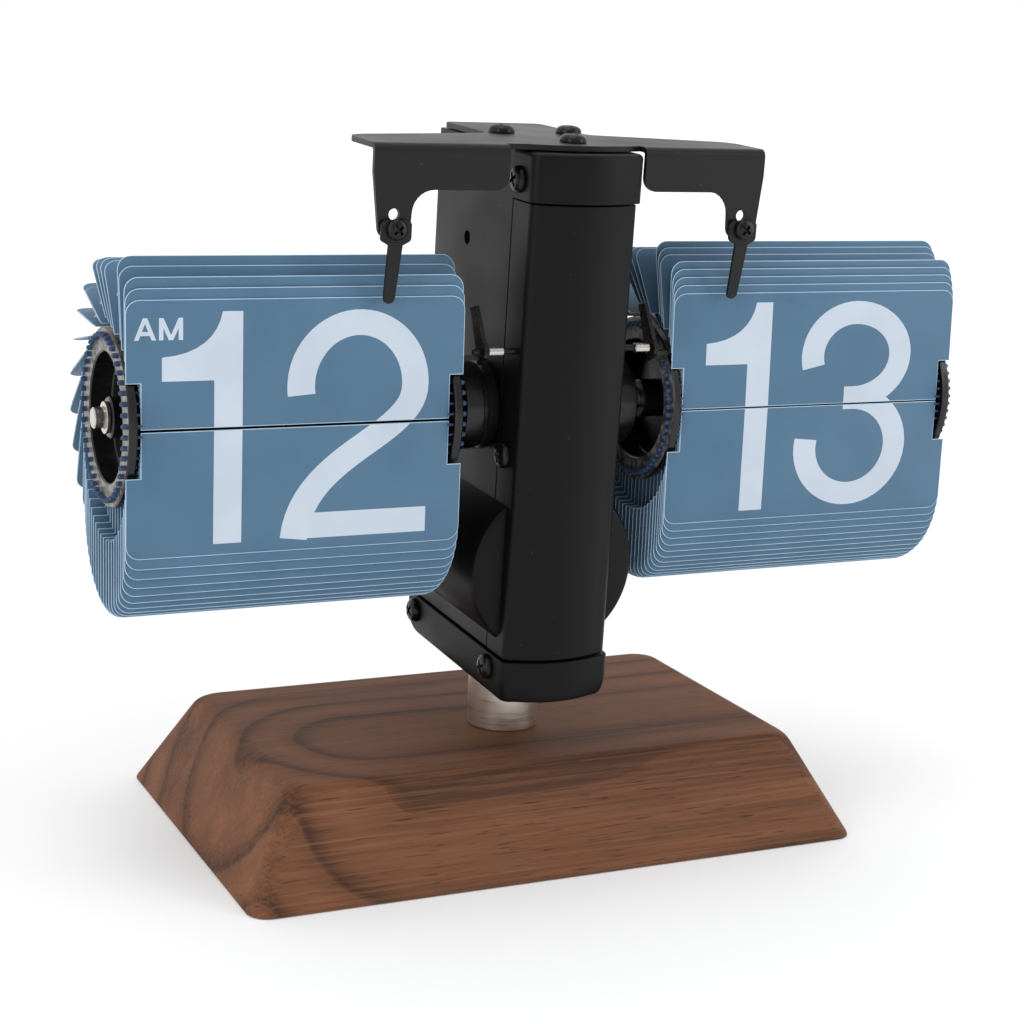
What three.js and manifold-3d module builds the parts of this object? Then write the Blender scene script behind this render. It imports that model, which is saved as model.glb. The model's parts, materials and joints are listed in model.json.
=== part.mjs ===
// A battery flip number clock: a sloped walnut base carries a short steel post and a slim black column.
// Drums of hinged leaves turn on axles either side of the column: hours on the left, minutes on the right.
// Units are millimetres. +X is the viewer's right, -Y faces the viewer, +Z is up.
// The origin is the middle of the base's underside.
import * as THREE from "three";
import { mergeVertices } from "three/addons/utils/BufferGeometryUtils.js";
import Module from "manifold-3d";

const wasm = await Module();
wasm.setup();

// ---------- driving dimensions ----------
const BASE = { width: 155, depth: 100.7, height: 24.4, inset: 12.8, edge: 4.6, corner: 5 };
const POST = { radius: 8.5, y: -7.5, foot: 0.05 };
const BOLT = { radius: 3, headRadius: 5.2, headHeight: 5, counterbore: 6, recess: 7, reach: 10 };

// The column leans a little towards the viewer. Its pieces are placed in a frame that turns with it.
const AXLE = { y: -18.4, z: 105.9, radius: 2.3, bore: 2.5 };
const LEAN = THREE.MathUtils.degToRad(2.75);

const COLUMN = {
  half: 13,
  front: -20.1,
  seam: -9.5,
  back: 34.3,
  bottom: -56.1,
  shellTop: 48.4,
  top: 59.6,
  bow: 2.4,
  corner: 2.4,
  wall: 1.3,
};
const TOP_CAP = { half: 13.6, front: -20.8, back: -9.8, bottom: 48.8 };
const BOTTOM_CAP = {
  half: 13.6,
  front: -20.8,
  back: 37.4,
  bottom: -66.4,
  top: -56.5,
  rearRadius: 5.5,
  frontRadius: 2,
};
const BARREL = { radius: 20.6, bore: 19, z: -36.3, front: -15.7, back: 48.3 };
const SHEET = 1.2;
const BRACKET = { top: 61.1, front: -19.9, waist: 12.5, back: 33 };

const DISC = { radius: 19.4, recess: 14.1, rim: 1.9, depth: 6.2, wall: 1.1, hub: 4.5, proud: 0.6 };
const LEAF = {
  length: 26.5,
  thickness: 0.4,
  corner: 3,
  notchWidth: 3.2,
  notchHeight: 10.8,
  pinRadius: 0.45,
  root: 0.4,
};
const PIN_CIRCLE = 17.76;
const PIN_HOLE = 0.8;
const PIN_END = 1.3;

// Each drum: its two end faces, the leaf pitch in degrees, how far round the leaves still stand upright,
// and the places round the drum (degrees up from the front) of the leaves that are modelled.
const HOUR = {
  name: "hour",
  outer: -101.3,
  inner: -26.4,
  pitch: 7.5,
  uprightTo: 33.75,
  places: [3.75, 26.25, 56.25, 101.25, 153.75, 198.75, 236.25, 273.75, 303.75, 333.75, 356.25],
};
const MINUTE = {
  name: "minute",
  outer: 103.5,
  inner: 26.4,
  pitch: 6,
  uprightTo: 45,
  places: [3, 21, 57, 99, 147, 195, 237, 273, 303, 339, 357],
};
const LEAF_NAMES = [
  "upper_front",
  "upper_standing",
  "upper_leaning",
  "top_lying",
  "back_lying",
  "back_hanging",
  "lower_back",
  "lower_bottom",
  "lower_middle",
  "lower_behind",
  "lower_front",
];
const FIRST_LEAN = 1.1;
const LAST_LEAN = 8;
const LYING_FROM = 76;
const HANGING_FROM = 176;

const BEARING = { radius: 10.3, start: 13.4, end: 21.9, neck: 5, neckEnd: 24.5 };
const PAWL_ROD = { radius: 0.6, sleeve: 1.3, y: -16, z: 15.5, half: 23.7, sleeveHalf: 20.4 };
const GEAR = { teeth: 24, x: 3, width: 2.2, hub: 4 };
const PINION = { teeth: 8, y: 8.2, z: 8.2, x: 2.2, width: 3.8, shaft: 0.8 };
// The gear and pinion share one tooth: heights in millimetres, widths as shares of the tooth spacing.
const TOOTH = { above: 0.36, below: 0.54, base: 0.44, tip: 0.2 };
const MOVEMENT = { half: 11, front: 2, back: 30, bottom: 12.5, top: 46, ear: 1.4, earBottom: 5 };
const KNOB = { radius: 7, y: 34.8, length: 8, z: 30, shaft: 1.5, flutes: 12 };
const CELL = { radius: 17, length: 58, capRadius: 4.7, capLength: 1.6 };
const DOOR = { thickness: 2, plug: 18.6, plugDepth: 1.1, slotWidth: 3, slotLength: 18, slotDepth: 1.2 };
const SCREW = { head: 3, rise: 1.7, shank: 1.3, length: 5, clearance: 1.6 };
const FINGER = {
  width: 7,
  head: 5,
  top: 45.2,
  strip: 3.3,
  tip: 2.6,
  tipZ: 28.8,
  back: -17.4,
  thick: 0.8,
  screwZ: 43.2,
};
const HOUR_FINGER_X = -45;
const MINUTE_FINGER_X = 39.6;

const GAP = 0.3;
const ROUND = 32;
const SMALL_ROUND = 12;

// ---------- finishes ----------
const finish = (color, roughness, metalness = 0) =>
  new THREE.MeshStandardMaterial({ color, roughness, metalness });
const WALNUT = finish(0x6e4a36, 0.5);
const STEEL = finish(0xb4afa8, 0.35, 1);
const BLACK_METAL = finish(0x262728, 0.5, 0.3);
const BLACK_GLOSS = finish(0x101011, 0.25);
const BLUE_LEAF = finish(0x5b7f9c, 0.55);
const DARK_SCREW = finish(0x1a1a1b, 0.4, 0.6);
const BRASS = finish(0xb8954f, 0.35, 1);
const PALE_PLASTIC = finish(0xcfcac0, 0.6);
const CELL_WRAP = finish(0x3b4a5a, 0.4);

// ---------- solids ----------
// A closed geometry as a solid that can be cut and joined.
function solid(geometry) {
  const bare = geometry.clone();
  bare.deleteAttribute("normal");
  bare.deleteAttribute("uv");
  const merged = mergeVertices(bare, 1e-4);
  return new wasm.Manifold(
    new wasm.Mesh({
      numProp: 3,
      vertProperties: new Float32Array(merged.attributes.position.array),
      triVerts: new Uint32Array(merged.index.array),
    }),
  );
}

function geometryOf(body) {
  const mesh = body.getMesh();
  const geometry = new THREE.BufferGeometry();
  geometry.setAttribute("position", new THREE.BufferAttribute(new Float32Array(mesh.vertProperties), 3));
  geometry.setIndex(new THREE.BufferAttribute(new Uint32Array(mesh.triVerts), 1));
  geometry.computeVertexNormals();
  return geometry;
}

const join = (first, ...rest) => rest.reduce((sum, next) => sum.add(next), first);
const cut = (first, ...tools) => tools.reduce((left, tool) => left.subtract(tool), first);

// A block between two corners.
function block(x0, x1, y0, y1, z0, z1) {
  const box = new THREE.BoxGeometry(x1 - x0, y1 - y0, z1 - z0);
  return solid(box.translate((x0 + x1) / 2, (y0 + y1) / 2, (z0 + z1) / 2));
}

// Round bars along each axis, centred on (a, b) in the other two axes.
function rodX(radius, x0, x1, y, z, segments = SMALL_ROUND) {
  const rod = new THREE.CylinderGeometry(radius, radius, x1 - x0, segments);
  return solid(rod.rotateZ(-Math.PI / 2).translate((x0 + x1) / 2, y, z));
}

function rodY(radius, y0, y1, x, z, segments = SMALL_ROUND) {
  const rod = new THREE.CylinderGeometry(radius, radius, y1 - y0, segments);
  return solid(rod.translate(x, (y0 + y1) / 2, z));
}

function rodZ(radius, z0, z1, x, y, segments = ROUND) {
  const rod = new THREE.CylinderGeometry(radius, radius, z1 - z0, segments);
  return solid(rod.rotateX(Math.PI / 2).translate(x, y, (z0 + z1) / 2));
}

// A flat outline given in (x, y), raised along Z.
function raised(shape, z0, z1, curveSegments = 6) {
  const slab = new THREE.ExtrudeGeometry(shape, { depth: z1 - z0, bevelEnabled: false, curveSegments });
  return solid(slab.translate(0, 0, z0));
}

// A flat outline given in (x, z), thickened along Y.
function upright(shape, y0, y1, curveSegments = 6) {
  const slab = new THREE.ExtrudeGeometry(shape, { depth: y1 - y0, bevelEnabled: false, curveSegments });
  return solid(slab.rotateX(Math.PI / 2).translate(0, y1, 0));
}

// A flat outline given in (y, z), thickened along X.
function sideways(shape, x0, x1, curveSegments = 6) {
  const slab = new THREE.ExtrudeGeometry(shape, { depth: x1 - x0, bevelEnabled: false, curveSegments });
  return solid(slab.rotateX(Math.PI / 2).rotateZ(Math.PI / 2).translate(x0, 0, 0));
}

// A ring or disc turned about the X axis from a profile of [radius, x] corners.
function turnedX(profile, segments = ROUND) {
  const points = profile.map(([r, x]) => new THREE.Vector2(r, x));
  const lathe = new THREE.LatheGeometry([...points, points[0]], segments);
  return solid(lathe.rotateZ(-Math.PI / 2));
}

// Turned about the Y axis from a profile of [radius, y] corners.
function turnedY(profile, segments = ROUND) {
  const points = profile.map(([r, y]) => new THREE.Vector2(r, y));
  return solid(new THREE.LatheGeometry(points, segments));
}

function node(name, body, material) {
  const mesh = new THREE.Mesh(geometryOf(body), material);
  mesh.name = name;
  return mesh;
}

// ---------- base and post ----------
// A trapezium with rounded upper corners, standing on its wide side.
function slopedProfile(half, height, inset, radius) {
  const slope = Math.atan2(inset, height);
  const tangent = radius * Math.tan((Math.PI / 2 - slope) / 2);
  const top = half - inset;
  const down = { x: Math.sin(slope) * tangent, z: -Math.cos(slope) * tangent };
  const shape = new THREE.Shape();
  shape.moveTo(-half, 0);
  shape.lineTo(half, 0);
  shape.lineTo(top + down.x, height + down.z);
  shape.absarc(top - tangent, height - radius, radius, slope, Math.PI / 2, false);
  shape.absarc(-top + tangent, height - radius, radius, Math.PI / 2, Math.PI - slope, false);
  shape.closePath();
  return shape;
}

function roundedRectangle(halfX, halfY, radius) {
  const shape = new THREE.Shape();
  shape.absarc(halfX - radius, halfY - radius, radius, 0, Math.PI / 2, false);
  shape.absarc(radius - halfX, halfY - radius, radius, Math.PI / 2, Math.PI, false);
  shape.absarc(radius - halfX, radius - halfY, radius, Math.PI, 1.5 * Math.PI, false);
  shape.absarc(halfX - radius, radius - halfY, radius, 1.5 * Math.PI, 2 * Math.PI, false);
  shape.closePath();
  return shape;
}

function woodenBase() {
  const { width, depth, height, inset, edge, corner } = BASE;
  const alongY = upright(slopedProfile(width / 2, height, inset, edge), -depth / 2, depth / 2);
  const alongX = sideways(slopedProfile(depth / 2, height, inset, edge), -width / 2, width / 2);
  const plan = raised(roundedRectangle(width / 2, depth / 2, corner), 0, height);
  return cut(
    alongY.intersect(alongX).intersect(plan),
    rodZ(BOLT.radius + GAP, -1, height + 1, 0, POST.y, SMALL_ROUND),
    rodZ(BOLT.counterbore, -1, BOLT.recess, 0, POST.y, SMALL_ROUND),
  );
}

function baseBolt() {
  const headTop = BOLT.recess - GAP;
  return join(
    rodZ(BOLT.headRadius, headTop - BOLT.headHeight, headTop, 0, POST.y, 6),
    rodZ(BOLT.radius, headTop - 1, BASE.height + BOLT.reach, 0, POST.y, SMALL_ROUND),
  );
}

// The post's top is cut to the slope of the leaning bottom cap.
function post() {
  const capSpace = new THREE.BoxGeometry(60, 120, 40).translate(0, 0, BOTTOM_CAP.bottom - GAP + 20);
  capSpace.rotateX(LEAN).translate(0, AXLE.y, AXLE.z);
  return cut(
    rodZ(POST.radius, BASE.height + POST.foot, BASE.height + 20, 0, POST.y),
    rodZ(BOLT.radius + GAP, BASE.height - 1, BASE.height + BOLT.reach + 1, 0, POST.y, SMALL_ROUND),
    solid(capSpace),
  );
}

// ---------- column ----------
// The column's plan: square at the back, rounded front corners and a slightly bowed front.
function columnPlan(half, front, back, corner) {
  const shape = new THREE.Shape();
  shape.moveTo(-half, back);
  shape.lineTo(-half, front + corner);
  shape.quadraticCurveTo(-half, front, corner - half, front);
  shape.quadraticCurveTo(0, front - 2 * COLUMN.bow, half - corner, front);
  shape.quadraticCurveTo(half, front, half, front + corner);
  shape.lineTo(half, back);
  shape.closePath();
  return shape;
}

function columnBlock(half, front, back, z0, z1) {
  return raised(columnPlan(half, front, back, COLUMN.corner), z0, z1);
}

const screwPlaces = {
  cap_screw_front: { y: -11.6, z: -60, face: BOTTOM_CAP.half },
  cap_screw_rear: { y: 32.6, z: -60.2, face: BOTTOM_CAP.half },
  shell_screw_middle: { y: -12.9, z: -9.1, face: COLUMN.half },
  shell_screw_top: { y: -13.6, z: 53.2, face: TOP_CAP.half },
};

const screwHoles = () =>
  Object.values(screwPlaces).map(({ y, z }) => rodX(SCREW.clearance, -20, -5, y, z));

function frontShell() {
  const { half, front, seam, bottom, shellTop, wall } = COLUMN;
  const barrelSpace = rodY(BARREL.radius + GAP, BARREL.front - GAP, seam + 1, 0, BARREL.z, ROUND);
  const cavity = columnBlock(half - wall, front + wall, seam + 1, bottom - 1, shellTop + 1);
  return cut(
    columnBlock(half, front, seam, bottom, shellTop),
    cavity,
    barrelSpace,
    rodX(PAWL_ROD.sleeve + GAP, -20, 20, PAWL_ROD.y, PAWL_ROD.z),
    ...screwHoles(),
  );
}

function rearHousing() {
  const { half, seam, back, bottom, top, wall } = COLUMN;
  const walls = cut(
    block(-half, half, seam + GAP, back, bottom + GAP, top),
    block(wall - half, half - wall, seam - 1, back - wall, bottom - 1, top + 1),
  );
  const barrel = rodY(BARREL.radius, BARREL.front, BARREL.back, 0, BARREL.z, ROUND);
  return cut(
    join(walls, barrel),
    rodY(BARREL.bore, BARREL.front + wall, BARREL.back + 1, 0, BARREL.z, ROUND),
    rodX(AXLE.bore, -20, 20, 0, 0),
    rodY(KNOB.shaft + GAP, back - 2 * wall, back + 1, 0, KNOB.z),
    rodX(SCREW.clearance, -20, -5, 14.6, 36.3),
  );
}

function topCap() {
  const { half, front, back, bottom } = TOP_CAP;
  const { wall, top } = COLUMN;
  return cut(
    columnBlock(half, front, back, bottom, top),
    columnBlock(half - wall, front + wall, back + 1, bottom - 1, top - wall),
    rodZ(SCREW.clearance, top - 2 * wall, top + 1, 0, -11, SMALL_ROUND),
    ...screwHoles(),
  );
}

// The bottom cap's side view, with its large rear and small front rounding.
function bottomCapSide() {
  const { front, back, bottom, rearRadius, frontRadius } = BOTTOM_CAP;
  const shape = new THREE.Shape();
  shape.moveTo(front - 5, 0);
  shape.lineTo(front - 5, bottom + frontRadius);
  shape.lineTo(front - 1, bottom + frontRadius / 2);
  shape.lineTo(front + frontRadius, bottom);
  shape.lineTo(back - rearRadius, bottom);
  shape.absarc(back - rearRadius, bottom + rearRadius, rearRadius, -Math.PI / 2, 0, false);
  shape.lineTo(back, 0);
  shape.closePath();
  return shape;
}

function bottomCap() {
  const { half, front, back, bottom, top } = BOTTOM_CAP;
  const { wall } = COLUMN;
  const sideView = sideways(bottomCapSide(), -half - 1, half + 1);
  const body = columnBlock(half, front, back, bottom, top).intersect(sideView);
  return cut(
    body,
    columnBlock(half - wall, front + wall, back - wall, bottom + wall, top + 1),
    rodY(BARREL.radius + GAP, BARREL.front - 1, BARREL.back, 0, BARREL.z, ROUND),
    ...screwHoles(),
  );
}

// ---------- top bracket and leaf fingers ----------
function bracketPlate() {
  const { front, waist, back } = BRACKET;
  const shape = new THREE.Shape();
  shape.moveTo(-50.2, front);
  shape.lineTo(-50.2, -8);
  shape.quadraticCurveTo(-50.2, -2.5, -45, -2);
  shape.lineTo(-waist - 4, 6);
  shape.quadraticCurveTo(-waist, 7, -waist, 12);
  shape.lineTo(-waist, back);
  shape.lineTo(waist, back);
  shape.lineTo(waist, 12);
  shape.quadraticCurveTo(waist, 7, waist + 4, 6);
  shape.lineTo(39, -3);
  shape.quadraticCurveTo(44.4, -4, 44.4, -10);
  shape.lineTo(44.4, front);
  shape.lineTo(14, front);
  shape.lineTo(14, -16.5);
  shape.lineTo(-14, -16.5);
  shape.lineTo(-19, -16.5);
  shape.lineTo(-19, front);
  shape.closePath();
  return shape;
}

// A front flange that narrows into a leg. x runs from the column side to the leg's outer edge.
function bracketFlange(columnSide, outer, legX, top) {
  const away = Math.sign(outer - columnSide);
  const bottom = 51.4;
  const legFoot = 41;
  const shape = new THREE.Shape();
  shape.moveTo(columnSide, top);
  shape.lineTo(columnSide, bottom + 3);
  shape.quadraticCurveTo(columnSide, bottom, columnSide + 3 * away, bottom);
  shape.lineTo(legX - 9 * away, bottom);
  shape.quadraticCurveTo(legX - 4.6 * away, bottom, legX - 4 * away, bottom - 5);
  shape.lineTo(legX - 3.4 * away, legFoot + 2);
  shape.quadraticCurveTo(legX - 3.2 * away, legFoot, legX, legFoot);
  shape.quadraticCurveTo(legX + 3.2 * away, legFoot, legX + 3.5 * away, legFoot + 2);
  shape.lineTo(outer, top - 4);
  shape.lineTo(outer, top);
  shape.closePath();
  return shape;
}

const bracketScrews = {
  bracket_screw_front: { x: 0, y: -11 },
  bracket_screw_left: { x: -8.5, y: 8.7 },
  bracket_screw_right: { x: 8.5, y: 8.7 },
};

function topBracket() {
  const { top, front } = BRACKET;
  const flangeTop = top - SHEET / 2;
  const holes = Object.values(bracketScrews).map(({ x, y }) =>
    rodZ(SCREW.clearance, top - 2 * SHEET, top + 1, x, y, SMALL_ROUND),
  );
  const legHoles = [HOUR_FINGER_X, MINUTE_FINGER_X].flatMap((x) => [
    rodY(1.3, front - 1, front + SHEET + 1, x, 46.9),
    rodY(SCREW.clearance, front - 1, front + SHEET + 1, x, FINGER.screwZ),
  ]);
  return cut(
    join(
      raised(bracketPlate(), top - SHEET, top),
      upright(bracketFlange(-19, -50.2, HOUR_FINGER_X, flangeTop), front, front + SHEET),
      upright(bracketFlange(14, 44.4, MINUTE_FINGER_X, flangeTop), front, front + SHEET),
    ),
    ...holes,
    ...legHoles,
  );
}

// A thin steel finger: a head under the screw and a strip that bends back to the top of the leaves.
function finger(x) {
  const { width, head, top, strip, tip, tipZ, back, thick, screwZ } = FINGER;
  const front = BRACKET.front - GAP - thick;
  const shoulder = top - head;
  const face = new THREE.Shape();
  face.moveTo(x - width / 2, top);
  face.lineTo(x - width / 2, shoulder + 1.4);
  face.lineTo(x - strip / 2, shoulder);
  face.lineTo(x - tip / 2, tipZ + 1);
  face.quadraticCurveTo(x, tipZ - 1, x + tip / 2, tipZ + 1);
  face.lineTo(x + strip / 2, shoulder);
  face.lineTo(x + width / 2, shoulder + 1.4);
  face.lineTo(x + width / 2, top);
  face.closePath();
  const side = new THREE.Shape();
  side.moveTo(front, top + 1);
  side.lineTo(front, shoulder);
  side.lineTo(back - thick, tipZ - 1);
  side.lineTo(back, tipZ - 1);
  side.lineTo(front + thick, shoulder);
  side.lineTo(front + thick, top + 1);
  side.closePath();
  return cut(
    upright(face, front - 5, back + 5).intersect(sideways(side, x - width, x + width)),
    rodY(SCREW.clearance, front - 1, front + thick + 1, x, screwZ),
  );
}

// ---------- screws ----------
// A pan-head screw along its own axis: y = 0 is the seat, the head rises to -y.
function screwProfile(length) {
  const { head, rise, shank } = SCREW;
  return [
    [0, -rise],
    [head * 0.6, -rise],
    [head, -rise * 0.45],
    [head, 0],
    [shank, 0],
    [shank, length],
    [0, length],
  ];
}

function sideScrew({ y, z, face }) {
  const screw = turnedY(screwProfile(SCREW.length), SMALL_ROUND);
  return screw.rotate([0, 0, -90]).translate([-face - GAP / 2, y, z]);
}

function topScrew({ x, y }) {
  const screw = turnedY(screwProfile(BRACKET.top - COLUMN.top + 1), SMALL_ROUND);
  return screw.rotate([-90, 0, 0]).translate([x, y, BRACKET.top + GAP / 2]);
}

function fingerScrew(x) {
  const seat = BRACKET.front - GAP - FINGER.thick - GAP / 2;
  return turnedY(screwProfile(3.5), SMALL_ROUND).translate([x, seat, FINGER.screwZ]);
}

// ---------- movement inside the column ----------
// A spur wheel's outline. The middle of a gap between two teeth faces the angle gapAt.
function toothedWheel(teeth, gapAt) {
  const { above, below, base, tip } = TOOTH;
  const centres = Math.hypot(PINION.y, PINION.z);
  const pitchRadius = (centres * teeth) / (GEAR.teeth + PINION.teeth);
  const step = (2 * Math.PI) / teeth;
  const corners = [
    [(1 - base) / 2, pitchRadius - below],
    [(1 - tip) / 2, pitchRadius + above],
    [(1 + tip) / 2, pitchRadius + above],
    [(1 + base) / 2, pitchRadius - below],
  ];
  const points = Array.from({ length: teeth }, (_, i) =>
    corners.map(([share, r]) => {
      const angle = gapAt + (i + share) * step;
      return new THREE.Vector2(Math.cos(angle) * r, Math.sin(angle) * r);
    }),
  );
  return new THREE.Shape(points.flat());
}

// The gear doesn't lean with the column, so the pinion lies at the column's angle and the lean together.
function minuteGear() {
  const { teeth, x, width, hub } = GEAR;
  const towardsPinion = Math.atan2(PINION.z, PINION.y) + LEAN;
  return cut(
    join(sideways(toothedWheel(teeth, towardsPinion), x, x + width), rodX(hub, x, x + 2 * width, 0, 0)),
    rodX(AXLE.bore, x - 1, x + 3 * width, 0, 0),
  );
}

function motorPinion() {
  const { teeth, y, z, x, width, shaft } = PINION;
  const towardsGear = Math.atan2(-z, -y);
  const halfTooth = Math.PI / teeth;
  const wheel = sideways(toothedWheel(teeth, towardsGear - halfTooth), x, x + width).translate([0, y, z]);
  const reach = MOVEMENT.half - GAP;
  return join(wheel, rodX(shaft, -reach, reach, y, z));
}

function movement() {
  const { half, front, back, bottom, top, ear, earBottom } = MOVEMENT;
  const { y, z, shaft } = PINION;
  const ears = [-half, half - ear].map((x) => block(x, x + ear, y - 4, y + 4, earBottom, bottom + 1));
  return cut(
    join(block(-half, half, front, back, bottom, top), ...ears),
    rodX(shaft + GAP, -half - 1, half + 1, y, z),
  );
}

function timeSetKnob() {
  const { radius, y, length, shaft, flutes } = KNOB;
  const flute = 1.1;
  const grips = Array.from({ length: flutes }, (_, i) => {
    const turn = (i / flutes) * 2 * Math.PI;
    return rodY(flute, y + 2, y + length + 1, radius * Math.cos(turn), radius * Math.sin(turn), 8);
  });
  const reach = MOVEMENT.back + GAP;
  return cut(join(rodY(radius, y, y + length, 0, 0, 36), rodY(shaft, reach, y + 1, 0, 0)), ...grips);
}

function batteryCell() {
  const { radius, length, capRadius, capLength } = CELL;
  const start = BARREL.front + COLUMN.wall + GAP;
  const body = rodY(radius, start + capLength, start + length, 0, BARREL.z, 32);
  return join(body, rodY(capRadius, start, start + capLength + 1, 0, BARREL.z));
}

// The battery door: a flanged plug with a coin slot, turning about its own middle.
function batteryDoor() {
  const { thickness, plug, plugDepth, slotWidth, slotLength, slotDepth } = DOOR;
  const seat = GAP;
  const slot = block(
    -slotLength / 2,
    slotLength / 2,
    seat + thickness - slotDepth,
    seat + thickness + 1,
    -slotWidth / 2,
    slotWidth / 2,
  );
  const flange = rodY(BARREL.radius, seat, seat + thickness, 0, 0, ROUND);
  return cut(join(flange, rodY(plug, -plugDepth, seat + 1, 0, 0, ROUND)), slot);
}

// ---------- bearings, pawls and their rod ----------
// side is -1 for the hour side and 1 for the minute side.
function bearing(side) {
  const { radius, start, end, neck, neckEnd } = BEARING;
  const profile = [
    [AXLE.bore, start],
    [radius, start],
    [radius, end],
    [neck, end],
    [neck, neckEnd],
    [AXLE.bore, neckEnd],
  ];
  const ring = turnedX(profile, 32);
  return side < 0 ? ring.rotate([0, 0, 180]) : ring;
}

function pawlRod() {
  const { radius, sleeve, y, z, half, sleeveHalf } = PAWL_ROD;
  return join(rodX(radius, -half, half, y, z, 10), rodX(sleeve, -sleeveHalf, sleeveHalf, y, z, 12));
}

// A pawl: a flat lever on the rod, with a foot that reaches over the disc's rim.
// It is drawn about its own pivot, on the minute side.
function pawl() {
  const { radius, sleeveHalf } = PAWL_ROD;
  const x = sleeveHalf + GAP;
  const thick = 1;
  const eye = 2.2;
  const lever = new THREE.Shape();
  lever.moveTo(-eye, 0);
  lever.lineTo(4.5, 9.5);
  lever.lineTo(7.2, 8.6);
  lever.lineTo(2.2, -1.2);
  lever.lineTo(1.6, -3.4);
  lever.lineTo(-0.6, -2.2);
  lever.closePath();
  const foot = block(x, x + 6.5, 0.2, 1.2, -2, -1);
  return cut(
    join(sideways(lever, x, x + thick), rodX(eye, x, x + thick, 0, 0, 12), foot),
    rodX(radius + 0.15, x - 1, x + thick + 1, 0, 0, 10),
  );
}

const mirrored = (body) => body.mirror([1, 0, 0]);

// ---------- drums ----------
const radians = THREE.MathUtils.degToRad;

// Where a leaf's pins sit, for a place round the drum in degrees up from the front.
const pinAt = (place) => ({
  y: -PIN_CIRCLE * Math.cos(radians(place)),
  z: PIN_CIRCLE * Math.sin(radians(place)),
});

// How far back from upright a leaf leans when it has settled: standing behind the finger at the front,
// leaning back over the top, lying on the leaves below it at the back, then hanging straight down.
function restingLean(place, drum) {
  const first = drum.pitch / 2;
  if (place <= drum.uprightTo) {
    const share = (place - first) / (drum.uprightTo - first);
    return FIRST_LEAN + (LAST_LEAN - FIRST_LEAN) * share;
  }
  if (place <= LYING_FROM) {
    const share = (place - drum.uprightTo) / (LYING_FROM - drum.uprightTo);
    return LAST_LEAN + (LYING_FROM - LAST_LEAN) * share;
  }
  return place <= HANGING_FROM ? place : 180;
}

// One end disc: a rim with the pin holes, a cup wall, a floor and a hub. face is its outer side.
function drumDisc(face, inward, drum) {
  const { radius, recess, rim, depth, wall, hub, proud } = DISC;
  const at = (x) => face + inward * x;
  const profile = [
    [AXLE.bore, at(-proud)],
    [hub, at(-proud)],
    [hub, at(depth - wall)],
    [recess, at(depth - wall)],
    [recess, at(0)],
    [radius, at(0)],
    [radius, at(rim)],
    [recess + wall, at(rim)],
    [recess + wall, at(depth)],
    [AXLE.bore, at(depth)],
  ];
  const disc = turnedX(inward > 0 ? profile : profile.reverse());
  const holes = drum.places.map((place) => {
    const { y, z } = pinAt(place);
    return rodX(PIN_HOLE, face - 2 * rim, face + 2 * rim, y, z, 6);
  });
  return cut(disc, ...holes);
}

// A leaf, drawn upright with its pins on the X axis. Its sides are notched to clear the discs.
function leaf(drum) {
  const left = Math.min(drum.outer, drum.inner) - GAP;
  const right = Math.max(drum.outer, drum.inner) + GAP;
  const { length, thickness, corner, notchWidth, notchHeight, pinRadius, root } = LEAF;
  const shape = new THREE.Shape();
  shape.moveTo(left + notchWidth, -root);
  shape.lineTo(right - notchWidth, -root);
  shape.lineTo(right - notchWidth, notchHeight);
  shape.lineTo(right, notchHeight);
  shape.absarc(right - corner, length - corner, corner, 0, Math.PI / 2, false);
  shape.absarc(left + corner, length - corner, corner, Math.PI / 2, Math.PI, false);
  shape.lineTo(left, notchHeight);
  shape.lineTo(left + notchWidth, notchHeight);
  shape.closePath();
  const pin = 2 * notchWidth;
  return join(
    upright(shape, -thickness / 2, thickness / 2, 4),
    rodX(pinRadius, left + GAP - PIN_END, left + pin, 0, 0, 6),
    rodX(pinRadius, right - pin, right - GAP + PIN_END, 0, 0, 6),
  );
}

function axle(x0, x1) {
  return rodX(AXLE.radius, x0, x1, 0, 0, 24);
}

function axleClip(x, outward) {
  const ends = outward > 0 ? [x, x + 0.8] : [x - 0.8, x];
  const profile = [
    [AXLE.bore, ends[0]],
    [3.5, ends[0]],
    [3.5, ends[1]],
    [AXLE.bore, ends[1]],
  ];
  return turnedX(profile, 20);
}

function drumParts(drum) {
  const group = new THREE.Group();
  const outward = Math.sign(drum.outer);
  const clipX = drum.outer + outward * (DISC.proud + GAP / 2);
  group.add(node(`${drum.name}_disc_outer`, drumDisc(drum.outer, -outward, drum), BLACK_GLOSS));
  group.add(node(`${drum.name}_disc_inner`, drumDisc(drum.inner, outward, drum), BLACK_GLOSS));
  group.add(node(`${drum.name}_axle_clip`, axleClip(clipX, outward), STEEL));
  const ends = [drum.outer + outward * 2.9, outward].sort((a, b) => a - b);
  group.add(node(`${drum.name}_axle`, axle(...ends), STEEL));
  drum.places.forEach((place, i) => {
    const mesh = node(`${drum.name}_leaf_${LEAF_NAMES[i]}`, leaf(drum), BLUE_LEAF);
    const { y, z } = pinAt(place);
    mesh.position.set(0, y, z);
    mesh.rotation.x = -radians(restingLean(place, drum));
    group.add(mesh);
  });
  return group;
}

// ---------- assembly ----------
const clock = new THREE.Group();
clock.name = "flip_number_clock";
clock.add(node("wooden_base", woodenBase(), WALNUT));
clock.add(node("base_bolt", baseBolt(), STEEL));
clock.add(node("post", post(), STEEL));

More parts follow.
